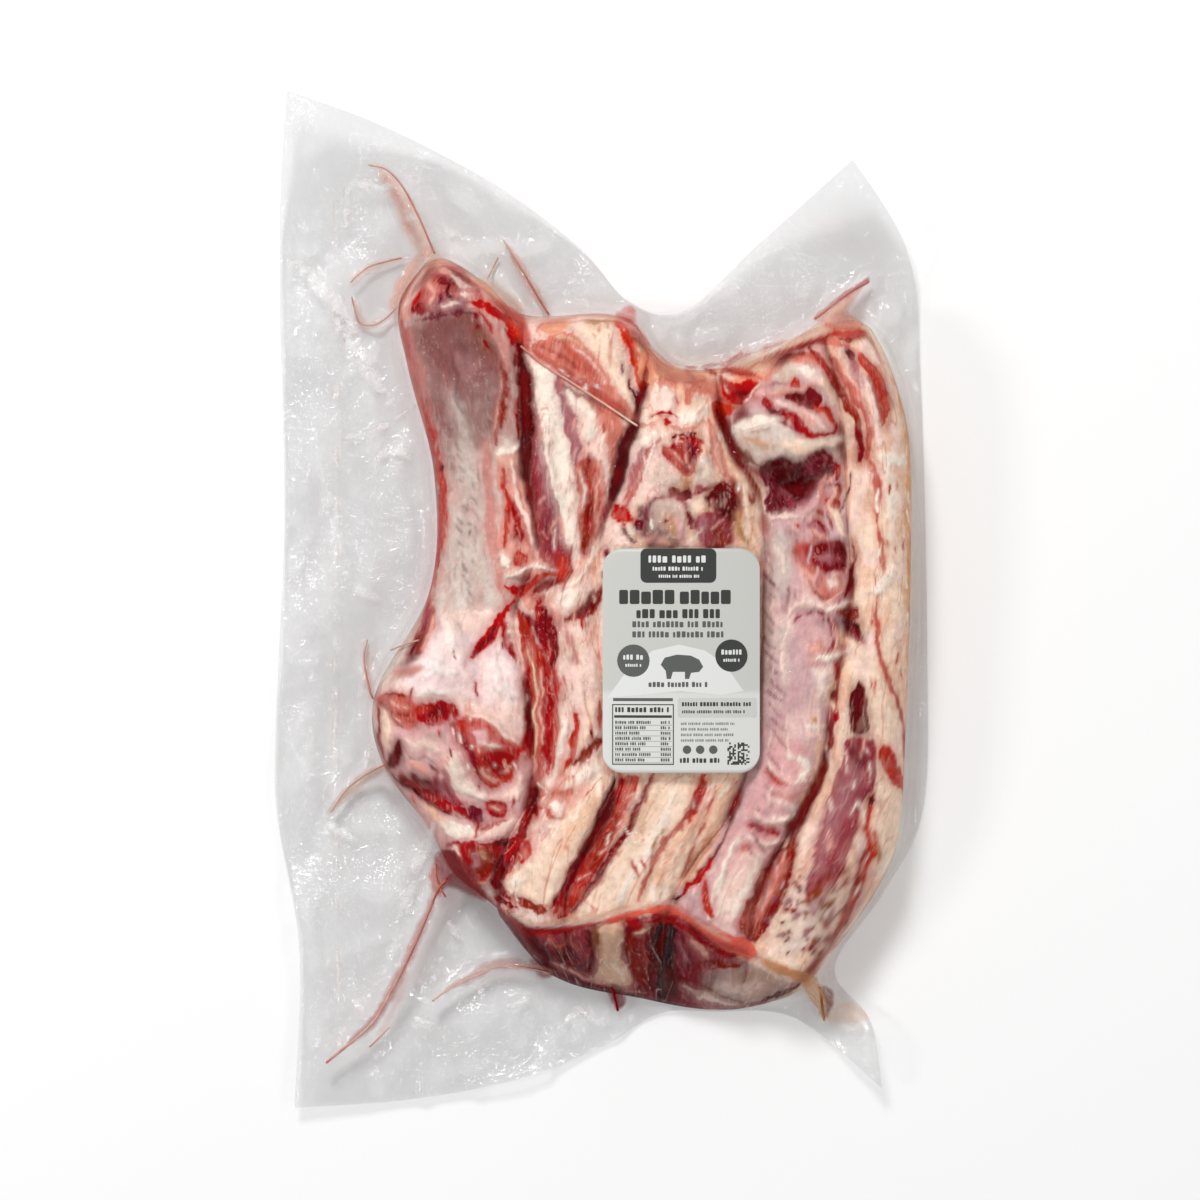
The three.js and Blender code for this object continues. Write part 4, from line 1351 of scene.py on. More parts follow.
def streaks(tones: tuple[Tone, ...], area: tuple[float, float, float, float], count: int, long: float,
            seed: int, width: float = 1.6, lean: float = 0.12) -> list[Mark]:
    """Short random streaks along the grain: fat in lean meat, blood in fat.

    Args:
        tones: Colours to pick from.
        area: Left, upper, right and lower side of where they lie, on the layout sheet.
        count: How many there are.
        long: The length of the longest in steps.
        seed: Which unevenness they have.
        width: Their mean width in steps.
        lean: How much they slant.

    Returns:
        One thin band for each streak.
    """
    rng = np.random.default_rng(SEED + seed)
    made = []
    for _ in range(count):
        x, y = rng.uniform(area[0], area[2]), rng.uniform(area[1], area[3])
        size, slant, bend = long * rng.uniform(0.25, 1.0), rng.normal(0.0, lean), rng.normal(0.0, 0.06)
        points = [(x + (slant * t + bend * t * t) * size, y + t * size) for t in (-0.5, -0.17, 0.17, 0.5)]
        text = " ".join(f"{px:.1f},{py:.1f}" for px, py in points)
        made.append(Mark(tones[rng.integers(len(tones))], text, width * rng.uniform(0.5, 1.4), 1.6, 0.1))
    return made


@dataclass(frozen=True)
class Painter:
    """Paints marks on the contents, with their edges wandering as real fat and muscle do.

    Attributes:
        seed: Which unevenness the edges have.
        wander: How far edges stray and over what length, in millimetres: broad bends, then fine ones.
        ragged: The same for the small tears of an edge.
        halo: The share of a mark's colour that bleeds past its edge.
        fat_rise: How far fat stands over lean in millimetres.
    """

    seed: int = 3
    wander: tuple[tuple[float, float], ...] = ((0.9, 6.3), (0.4, 2.2))
    ragged: tuple[tuple[float, float], ...] = ((0.8, 1.7), (0.4, 0.8))
    halo: float = 0.3
    fat_rise: float = 0.6

    def paint(self, marks: list[Mark], x: np.ndarray, y: np.ndarray, colour: np.ndarray,
              fibre: np.ndarray) -> tuple[np.ndarray, np.ndarray, np.ndarray]:
        """Lays marks over a base.

        Args:
            marks: What is painted, the last on top.
            x: Across, in millimetres.
            y: Along, in millimetres.
            colour: Linear colours at the points.
            fibre: How much muscle fibre shows at the points.

        Returns:
            The new colours, the new fibre and the height that the marks add.
        """
        wide, fine = Noise(self.seed), Noise(self.seed + 1)
        (far, bend), (near_by, kink) = self.wander
        wx = x + far * wide.at(x, y, bend) + near_by * fine.at(x, y, kink)
        wy = y + far * wide.at(x + 90.0, y, bend) + near_by * fine.at(x + 90.0, y, kink)
        (deep, tear), (shallow, nick) = self.ragged
        rough = deep * fine.at(x, y * 0.3, tear) + shallow * fine.at(x - 50.0, y * 0.5, nick)
        thin = smooth(0.0, 0.8, wide.at(x + 40.0, y * 0.5, 3.1, 2))
        colour, fibre, rise = colour.copy(), fibre.copy(), np.zeros(x.shape)
        for mark in marks:
            line = mark.line()
            blur = max(mark.blur * STEP * 0.6, 0.35)
            pad = mark.width * STEP / 2.0 + blur + 4.5
            (x0, y0), (x1, y1) = line.min(axis=0) - pad, line.max(axis=0) + pad
            near = np.flatnonzero((wx > x0) & (wx < x1) & (wy > y0) & (wy < y1))
            if not len(near):
                continue
            px, py = wx[near], wy[near]
            edge = mark.edge(px, py, line) + rough[near] * min(1.2, 0.2 + blur * 0.6)
            reach = min(4.0, 0.6 + 0.8 * mark.width * STEP) if mark.width else 4.0
            bleed = self.halo * (1.0 - smooth(0.0, reach, edge))
            cover = np.maximum(1.0 - smooth(-blur * 0.6, blur * 0.6, edge), bleed)
            cover *= mark.cover * (1.0 - 0.18 * thin[near] * (mark.blur > 2))
            colour[near] += (mark.tone.light() - colour[near]) * cover[:, None]
            fibre[near] += (mark.tone.fibre() - fibre[near]) * cover
            lift = mark.lift + self.fat_rise * (0.4 - mark.tone.fibre())
            rise[near] += mark.cover * lift * (1.0 - smooth(-1.6, 1.0 + blur * 0.4, edge))
        return colour, fibre, rise


# ---------------------------------------------------------------- the pack's shape

Line = tuple[tuple[float, float], ...]


@dataclass(frozen=True)
class PackShape:
    """The pack's named sizes and heights, as in the CAD model, in millimetres.

    Attributes:
        left, top, right, bottom: The bag's edges, corner to corner.
        borders: The borders of the five strips from left to right, as x along y.
        top_end, fold_line, foot_line: The strips' upper ends, lower folds and feet, as y along x.
        crowns: How high each strip stands, as z along y.
        lumps, hollows: x, y, half length across, half length along, and height or depth.
        overlap: How far a strip presses over each border.
        foot: Where the strips start.
        label_size: The label's width, height and corner.
        label_middle: The label's middle.
        label_high: Its highest line, and the radius of its bend.
        label_rim: How far past the label's outline meat and film lie as flat as under it.
        boxy: How square a strip's shoulders are: against a neighbour, and at the pack's side.
    """

    left: Line = ((-139, -230), (-137, -158), (-147, -100), (-148, -60), (-144, 36), (-146, 161), (-142, 230))
    top: Line = ((-142, 230), (-94, 212), (-48, 188), (-10, 160), (12, 136), (37, 131), (71, 161), (113, 198))
    right: Line = ((127, -221), (122, -191), (106, -167), (128, -133), (146, -95), (148, -22), (145, 100),
                   (139, 156), (113, 198))
    bottom: Line = ((-139, -230), (-91, -227), (-41, -218), (0, -203), (26, -188), (50, -187), (88, -190),
                    (127, -221))
    borders: tuple[Line, ...] = (
        ((-171, -33), (-143, -44), (-124, -67), (-104, -78), (-75, -99), (-44, -103), (4, -78), (57, -76),
         (106, -88), (134, -92), (155, -80)),
        ((-171, -26), (-143, -42), (-112, -42), (-85, -30), (-40, -34), (-7, -40), (22, -28), (58, -34),
         (130, -37)),
        ((-178, -8), (-140, -18), (-80, 6), (-20, 0), (18, -1), (50, 7), (79, 17), (110, 24)),
        ((-185, 28), (-135, 32), (-87, 63), (-52, 70), (-9, 73), (46, 72), (68, 58), (110, 50)),
        ((-183, 62), (-128, 70), (-77, 97), (-42, 103), (2, 112), (41, 109), (95, 106), (126, 98)),
        ((-174, 97), (-163, 104), (-133, 124), (-111, 134), (-52, 138), (18, 140), (74, 139), (108, 130),
         (126, 121)),
    )
    top_end: Line = ((-100, 118), (-92, 134), (-77, 155), (-54, 145), (-37, 130), (12, 128), (28, 108), (52, 105),
                     (74, 111), (98, 124), (118, 126), (132, 112), (141, 96))
    fold_line: Line = ((-104, -60), (-90, -82), (-70, -112), (-44, -138), (-1, -141), (32, -134), (62, -150),
                       (89, -163), (112, -142), (128, -117), (140, -96))
    foot_line: Line = ((-104, -70), (-90, -92), (-67, -124), (-44, -145), (-23, -170), (19, -181), (50, -186),
                       (75, -183), (97, -172), (124, -134), (141, -98))
    crowns: tuple[Line, ...] = (
        ((-130, 32), (-60, 44), (-20, 43), (40, 36), (100, 40), (150, 34)),
        ((-175, 34), (-130, 43), (-60, 41), (20, 37), (80, 39), (128, 34)),
        ((-175, 36), (-130, 43), (-60, 47), (20, 48), (60, 48), (110, 40)),
        ((-180, 38), (-130, 44), (-60, 46), (20, 46), (60, 49), (112, 42)),
        ((-175, 36), (-130, 42), (-60, 45), (20, 45), (80, 45), (124, 37)),
    )
    lumps: tuple[tuple[float, ...], ...] = (
        (-80, -34, 17, 15, 7), (-88, -62, 13, 11, 5), (-56, -66, 15, 14, 7), (-56, -112, 11, 12, 5),
        (-74, 138, 11, 10, 4), (-30, 40, 7, 24, 4), (-38, -20, 6, 26, 5), (-14, -112, 10, 24, 5),
        (36, 66, 17, 15, 7), (47, 38, 12, 10, 4), (84, 70, 17, 11, 9), (92, 98, 14, 12, 6), (106, 25, 8, 8, 5),
        (105, -4, 7, 8, 5), (98, -36, 8, 9, 5), (93, -63, 7, 9, 4), (82, -90, 8, 9, 4), (110, -62, 6, 22, 4),
        (103, -114, 10, 24, 4), (122, 88, 6, 20, 3),
    )
    hollows: tuple[tuple[float, ...], ...] = (
        (-56, 110, 12, 20, 4), (-58, 50, 10, 34, 3), (86, 50, 15, 6, 8), (60, 88, 8, 12, 9), (-77, -86, 12, 5, 5),
        (-44, -82, 8, 10, 4), (30, 22, 12, 7, 4),
    )
    overlap: float = 4.5
    foot: float = 0.5
    label_size: tuple[float, float, float] = (70.0, 100.0, 9.0)
    label_middle: tuple[float, float] = (35.5, -27.0)
    label_high: tuple[float, float] = (52.6, 170.0)
    label_rim: float = 1.5
    boxy: tuple[float, float] = (4.2, 2.6)

    def outside(self, x: np.ndarray, y: np.ndarray) -> np.ndarray:
        """How far points lie outside the contents, negative inside."""
        return np.maximum.reduce([along(self.borders[0], y) - x, x - along(self.borders[5], y),
                                  y - along(self.top_end, x), along(self.foot_line, x) - y])

    def lift(self, x: np.ndarray, y: np.ndarray) -> np.ndarray:
        """Height of the margin's underside: wavy, and curling up at the corners.

        Args:
            x, y: The points, across and along, in millimetres.

        Returns:
            A height for each point.
        """
        waves = 3.0 + 1.6 * np.sin(y / 21 + x / 37) + 1.1 * np.sin(y / 11 - x / 19 + 1.3)
        curls = 15 * bell(x, y, -142, 232, 60, 52) + 22 * bell(x, y, 116, 200, 46, 48)
        curls += 7 * bell(x, y, 128, -222, 30, 26) + 5 * bell(x, y, -140, -232, 60, 50)
        return (waves + curls) * smooth(13, 56, self.outside(x, y))

    def sides(self, k: int, y: np.ndarray) -> tuple[np.ndarray, np.ndarray]:
        """Where strip number k starts and ends across."""
        low = along(self.borders[k], y) - (self.overlap if k > 0 else 0)
        return low, along(self.borders[k + 1], y) + (self.overlap if k < 4 else 0)

    def strip_top(self, k: int, x: np.ndarray, y: np.ndarray, across: np.ndarray) -> np.ndarray:
        """The height of strip number k, where across runs from -1 to 1 over its width.

        Args:
            k: The strip's number from the left.
            x, y: The points, across and along, in millimetres.
            across: From -1 to 1 over the strip's width.

        Returns:
            A height for each point.
        """
        inner = ((across > 0) & (k < 4)) | ((across < 0) & (k > 0))
        boxy = np.where(inner, *self.boxy)
        side = np.clip(1 - np.abs(across) ** boxy, 0, 1) ** (1 / boxy)
        fold = along(self.fold_line, x)
        down = np.clip((fold - y) / (fold - along(self.foot_line, x)), 0, 1)
        up = np.clip((y - along(self.top_end, x) + 15) / 15, 0, 1)
        relief = 0.7 * np.sin(x / 3.1 + y / 8) * np.sin(y / 6.3 - x / 11)
        for cx, cy, rx, ry, rise in self.lumps:
            relief += rise * bell(x, y, cx, cy, rx, ry)
        for cx, cy, rx, ry, depth in self.hollows:
            relief -= depth * bell(x, y, cx, cy, rx, ry)
        return (along(self.crowns[k], y) + relief) * side * (1 - down**1.7) ** 0.75 * np.sqrt(1 - up**2.4)

    def label_top(self, x: np.ndarray) -> np.ndarray:
        """Height of the label's upper face."""
        return self.label_high[0] - (x - self.label_middle[0]) ** 2 / (2 * self.label_high[1])

    def label_distance(self, x: np.ndarray, y: np.ndarray) -> np.ndarray:
        """How far points lie outside the label's outline, negative inside.

        Args:
            x, y: The points, across and along, in millimetres.

        Returns:
            A distance for each point.
        """
        width, height, corner = self.label_size
        dx = np.abs(x - self.label_middle[0]) - width / 2 + corner
        dy = np.abs(y - self.label_middle[1]) - height / 2 + corner
        return np.hypot(np.maximum(dx, 0), np.maximum(dy, 0)) + np.minimum(np.maximum(dx, dy), 0) - corner

    def film_place(self, columns: int, rows: int) -> tuple[np.ndarray, np.ndarray]:
        """The bag's flat film as a grid blended from its four edges.

        Args:
            columns: Cells across.
            rows: Cells along.

        Returns:
            x and y of each corner of the grid, row by row.
        """
        left, right = spline(self.left, rows + 1)[:, None], spline(self.right, rows + 1)[:, None]
        bottom, top = spline(self.bottom, columns + 1)[None], spline(self.top, columns + 1)[None]
        u, v = np.meshgrid(np.linspace(0, 1, columns + 1), np.linspace(0, 1, rows + 1))
        u, v = u[..., None], v[..., None]
        sides = (1 - u) * (left - (1 - v) * left[0] - v * left[-1])
        sides = sides + u * (right - (1 - v) * right[0] - v * right[-1])
        blend = sides + (1 - v) * bottom + v * top
        return blend[..., 0].ravel(), blend[..., 1].ravel()


@dataclass
class Contents:
    """The five strips of ribs, pressed side by side.

    Attributes:
        shape: The pack's sizes.
        columns: Cells across a strip's top.
        rows: Cells along it.
        seat_gap: How far the meat stays under the label's upper face.
        thin: The least height of the meat's top.
        thick: The height from which its unevenness shows in full.
        depth: How much darker its dark colours are painted, because film and light lift them.
        warmth: How much warmer its pale colours are painted, because the film and the white room cool them.
    """

    shape: PackShape
    columns: int = 130
    rows: int = 400
    seat_gap: float = 1.9
    thin: float = 1.7
    thick: float = 25.0
    depth: float = 1.14
    warmth: tuple[float, float, float] = (1.06, 0.995, 0.965)
    marks: list[Mark] = field(init=False)

    # The seams between lobes of fat: spacing in millimetres, how thin they are, how much they show, and their tone.
    SEAMS = ((5.0, 0.93, 0.55, T.LEAN_PINK), (2.6, 0.9, 0.3, T.SALMON), (3.4, 0.92, 0.45, T.WHITE))

    def __post_init__(self) -> None:
        """Gathers what is painted on each strip."""
        pale = (T.WHITE, T.BLUSH, T.PINK)
        red = (T.LEAN_LIGHT, T.LEAN_DARK, T.LEAN)
        shank = strokes(T.SKIN_MARK, "462,396 458,450 462,500 458,545 466,580 468,620", 12, 10, 1)
        shank += strokes(T.SKIN_MARK, "476,430 474,480 478,530 474,600", 15, -9, 14)
        shank += streaks((T.SKIN, T.SKIN_PALE, T.SKIN_MARK), (425, 400, 505, 640), 50, 24, 2)
        shank += SHANK_MARKS + streaks(pale, (430, 700, 520, 790), 26, 12, 3)
        shank += streaks(red, (400, 640, 520, 830), 16, 14, 4)
        band = LEAN_BAND_MARKS + streaks(pale, (530, 380, 635, 800), 46, 26, 5)
        band += streaks(red, (580, 400, 612, 760), 14, 20, 6)
        band += streaks((T.WHITE, T.BLUSH, T.PEACH), (505, 770, 615, 905), 30, 20, 7, 1.4, 0.5)
        knuckle = KNUCKLE_MARKS + streaks(pale, (640, 380, 770, 550), 26, 14, 8)
        knuckle += streaks((T.WHITE, T.PEACH, T.LEAN_PINK), (570, 780, 740, 910), 34, 24, 9, 1.3, 0.6)
        cuts = strokes(T.LILAC_MARK, "762,560 764,620 768,680 770,730 760,790 746,850", 13, 15, 10)
        membrane = MEMBRANE_MARKS + cuts
        membrane += streaks((T.SKIN_ROSE, T.BLUSH, T.SKIN_LILAC), (760, 510, 830, 900), 50, 30, 11)
        rind = RIND_MARKS + streaks((T.LEAN_PINK, T.WHITE, T.PEACH), (868, 480, 912, 740), 46, 16, 12, 1.3)
        rind += streaks(pale, (820, 740, 880, 900), 22, 24, 13)
        rind += streaks((T.LEAN_BROWN, T.SKIN_DARK, T.BROWN), (780, 866, 850, 952), 100, 4, 14, 3.2, 1.0)
        self.marks = band + shank + knuckle + membrane + rind + WALL_MARKS

    def height(self, k: int, x: np.ndarray, y: np.ndarray, across: np.ndarray,
               rise: np.ndarray) -> np.ndarray:
        """The finished height of strip number k, flattened where the label lies on it.

        Args:
            k: The strip's number from the left.
            x: Across, in millimetres.
            y: Along, in millimetres.
            across: From -1 to 1 over the strip's width.
            rise: The height added by what is painted.

        Returns:
            Heights in millimetres.
        """
        high = self.shape.strip_top(k, x, y, across)
        soft = np.clip(high / self.thick, 0, 1)
        high = np.maximum(self.thin, high + (rise + self.texture(k, x, y)) * soft)
        seat = self.shape.label_top(x) - self.seat_gap
        return np.where(self.shape.label_distance(x, y) < self.shape.label_rim, np.minimum(high, seat), high)

    @staticmethod
    def texture(k: int, x: np.ndarray, y: np.ndarray) -> np.ndarray:
        """The small unevenness of cut and torn meat, in millimetres.

        Args:
            k: The strip's number from the left.
            x, y: The points, across and along, in millimetres.

        Returns:
            A height for each point.
        """
        calm = STRIPS[k].calm - (0.6 * smooth(-20, 0, y) if k == 0 else 0.0)  # the shank's upper end has a skin
        folds = 1.2 * Noise(25 + k).at(x, y * 0.6, 19.0)
        grains = STRIPS[k].fine * Noise(30 + k).at(x, y * 0.5, 3.0, 2)
        return calm * (folds + Noise(20 + k).at(x, y * 0.7, 9.0, 2) + grains)

    def base(self, k: int, x: np.ndarray, y: np.ndarray, across: np.ndarray) -> tuple[np.ndarray, np.ndarray]:
        """The ground colour and fibre of a strip before its marks.

        Args:
            k: The strip's number from the left.
            x, y: The points, across and along, in millimetres.
            across: From -1 to 1 over the strip's width.

        Returns:
            Linear colours, and how much fibre shows.
        """
        strip = STRIPS[k]
        colour = np.tile(strip.tones[0].light(), (len(x), 1))
        for number, tone in enumerate(strip.tones[1:]):
            mix = smooth(-0.05, 0.35, Noise(40 + k + 10 * number).at(x, y * 0.55, 9.0 - 3 * number, 3)) * 0.8
            colour += (tone.light() - colour) * mix[:, None] * strip.patchy
        # its hollows turn lean pink, for the lean and juice that lie there and as painted shade
        hollow = smooth(0.2, 1.8, -self.texture(k, x, y)) * strip.hollow
        colour += (T.LEAN_PINK.light() - colour) * hollow[:, None]
        fibre = np.full(x.shape, strip.tones[0].fibre())
        # painted shade: where a strip meets its neighbour, its side turns dark lean towards the gap
        inner = (across > 0.8) & (k < 4) | (across < -0.8) & (k > 0)
        depth = smooth(0.93, 0.99, np.abs(across) + 0.03 * Noise(50).at(x, y, 5.0)) * inner
        colour += (T.LEAN_DARK.light() - colour) * depth[:, None]
        return colour, fibre

    def coat(self, k: int, x: np.ndarray, y: np.ndarray,
             across: np.ndarray) -> tuple[np.ndarray, np.ndarray, np.ndarray]:
        """Paints strip number k: its colours, its fibre and the height of its marks.

        Args:
            k: The strip's number from the left.
            x, y: The points, across and along, in millimetres.
            across: From -1 to 1 over the strip's width.

        Returns:
            Linear colours, how much fibre shows, and heights.
        """
        colour, fibre = self.base(k, x, y, across)
        colour, fibre, rise = Painter().paint(self.marks, x, y, colour, fibre)
        low, high = self.shape.sides(k, y)
        aside = across * (high - low) / 2
        for size, thin, share, tone in self.SEAMS:
            ridge = 1 - np.abs(Noise(int(90 + 10 * size)).at(aside, y * 0.16, size, 2))
            seam = smooth(thin, 1.0, ridge) * share * STRIPS[k].seams * np.clip(1.1 - 1.3 * fibre, 0, 1)
            colour += (tone.light() - colour) * seam[:, None]
        return colour, fibre, rise

    def calm_sides(self, colour: np.ndarray, across: np.ndarray, y: np.ndarray, z: np.ndarray) -> np.ndarray:
        """Evens out the paint down the steep sides and the far end, where it would run into upright streaks.

        Args:
            colour: The strip's colours.
            across: From -1 to 1 over the strip's width.
            y, z: Its points along and up, in millimetres.

        Returns:
            The new colours.
        """
        shape = (self.rows + 1, self.columns + 1)
        grid = colour.reshape(*shape, 3)
        side = smooth(0.9, 0.985, np.abs(across)).reshape(shape)
        end = np.tile(smooth(0.955, 0.985, np.linspace(0, 1, shape[0]))[:, None], (1, shape[1])) * (1 - side)
        for axis, share, reach in ((0, side, 4), (1, end, 3)):
            even = grid
            for _ in range(3):
                pad = [(0, 0)] * 3
                pad[axis] = (reach, reach)
                wide = np.pad(even, pad, mode="edge")
                even = sum(np.take(wide, range(i, i + shape[axis]), axis=axis) for i in range(2 * reach + 1))
                even = even / (2 * reach + 1)
            grid = grid + (even - grid) * 0.85 * share[:, :, None]
        patches = 1 + 0.3 * np.clip(side + end, 0, 1) * Noise(70).at(y, z * 1.3, 6.0, 3).reshape(shape)
        return (grid * np.clip(patches, 0.5, 1.3)[:, :, None]).reshape(-1, 3)

    def place(self, k: int) -> tuple[np.ndarray, np.ndarray, np.ndarray]:
        """Where the grid of strip number k lies: x, y and across.

        Args:
            k: The strip's number from the left.

        Returns:
            Those three for each corner of the grid.
        """
        shape = self.shape
        u, v = np.meshgrid(np.linspace(0, 1, self.columns + 1), np.linspace(0, 1, self.rows + 1))
        u, v = u.ravel(), v.ravel()
        across = np.sin((u - 0.5) * np.pi)
        eased = v - np.sin(2 * np.pi * v) / (4 * np.pi)
        x = np.full(u.shape, float(along(shape.borders[k], 0) + along(shape.borders[k + 1], 0)) / 2)
        y = np.zeros(u.shape)
        for _ in range(6):
            foot = along(shape.foot_line, x)
            y = foot + (along(shape.top_end, x) - foot) * eased
            low, high = shape.sides(k, y)
            x = (low + high) / 2 + across * (high - low) / 2
        return x, y, across

    def build(self, finish: bpy.types.Material) -> list[bpy.types.Object]:
        """Makes the five strips as closed meshes.

        Args:
            finish: The meat's material.

        Returns:
            The strips from left to right.
        """
        made = []
        for k, strip in enumerate(STRIPS):
            x, y, across = self.place(k)
            colour, fibre, rise = self.coat(k, x, y, across)
            z = self.height(k, x, y, across, rise)
            colour = self.calm_sides(colour, across, y, z)
            rim = grid_rim(self.columns, self.rows)
            foot = np.column_stack((x[rim], y[rim], np.full(len(rim), self.shape.foot)))
            points = np.vstack((np.column_stack((x, y, z)), foot))
            number = len(x) + np.arange(len(rim))
            wall = np.stack((rim, number, np.roll(number, -1), np.roll(rim, -1)), axis=-1)
            faces = grid_faces(self.columns, self.rows).tolist() + wall.tolist() + [number[::-1].tolist()]
            piece = make_piece(strip.name, points, faces, finish)
            paint = np.vstack((colour, colour[rim])) ** self.depth
            pale = np.clip(paint.mean(axis=1, keepdims=True) * 1.4 - 0.15, 0, 1)
            set_colours(piece, "Paint", np.minimum(paint * (1 + (np.array(self.warmth) - 1) * pale), 1.0))
            set_amounts(piece, "Lean", np.concatenate((fibre, fibre[rim])))
            low, high = self.shape.sides(k, y)
            self.add_grain(piece, across * (high - low) / 2, y, z, rim)
            made.append(piece)
        return made

    @staticmethod
    def add_grain(piece: bpy.types.Object, aside: np.ndarray, y: np.ndarray, z: np.ndarray,
                  rim: np.ndarray) -> None:
        """Gives a strip a UV map in millimetres, across and along its muscle fibres.

        Args:
            piece: The piece.
            aside: How far its points lie from the strip's middle line.
            y, z: Its points along and up.
            rim: The numbers of the points round its foot.
        """
        flat = np.column_stack((aside + 0.35 * z, y))
        every = np.vstack((flat, flat[rim]))
        corner = np.zeros(len(piece.data.loops), dtype=np.int32)
        piece.data.loops.foreach_get("vertex_index", corner)
        piece.data.uv_layers.new(name="grain").data.foreach_set("uv", every[corner].astype(np.float32).ravel())


# ---------------------------------------------------------------- the film


@dataclass(frozen=True)
class Tent:
    """A crease of film that stands up: a crest line whose height falls from root to tip.

    Attributes:
        path: The crest from root to tip, in millimetres.
        width: Its width at the root.
        height: Its height at the root.
    """

    path: Line
    width: float
    height: float


TENTS = (
    Tent(((-76, 146), (-83, 171), (-98, 193)), 8, 30), Tent(((-26, 124), (-35, 146), (-44, 163)), 6, 10),
    Tent(((-88, 128), (-103, 125), (-112, 136)), 5, 8), Tent(((-100, -44), (-106, -32), (-107, -18)), 5, 7),
    Tent(((-96, -72), (-107, -80), (-122, -97)), 7, 12),
    Tent(((-68, -122), (-78, -146), (-94, -176), (-123, -209)), 9, 18),
    Tent(((-26, -164), (-45, -167), (-60, -170), (-75, -181)), 7, 10),
    Tent(((6, -172), (7, -180), (7, -186)), 8, 12), Tent(((96, -168), (101, -180), (112, -189)), 16, 26),
    Tent(((4, 120), (12, 128), (16, 134)), 14, 24), Tent(((96, 116), (106, 130), (121, 144)), 13, 32),
)
# Soft folds of the empty margin on the layout sheet: path, half width and height in millimetres.
WRINKLES = (
    ("336,190 334,400 333,640 334,860 340,1100", 1.6, 2.0), ("300,130 318,300 312,520", 5.8, 2.3),
    ("300,620 290,820 306,1060", 6.9, 2.7), ("350,330 372,420 380,520", 3.4, 1.9),
    ("345,470 366,560 358,640", 3.0, 1.7), ("356,700 340,780 318,880", 3.4, 2.3),
    ("290,230 340,262 392,300", 3.4, 1.9), ("300,760 340,800 372,850", 3.4, 2.1),
    ("360,900 392,880 426,850", 2.8, 1.5), ("300,960 350,940 402,930", 3.9, 1.9),
    ("440,1050 480,1010 520,990", 3.0, 1.7), ("360,1100 400,1040 430,990", 3.4, 2.3),
    ("460,215 472,250 480,262", 2.0, 0.8), ("852,260 872,290 890,318", 3.7, 2.7),
    ("780,250 800,290 812,316", 3.4, 2.3), ("905,250 896,300 890,340", 3.9, 2.7),
    ("870,960 890,900 905,860", 3.4, 2.1), ("852,1010 880,1050 884,1086", 3.7, 2.7),
    ("560,1020 600,1024 640,1016", 2.8, 1.5), ("440,180 470,205 490,240", 3.0, 1.9),
)


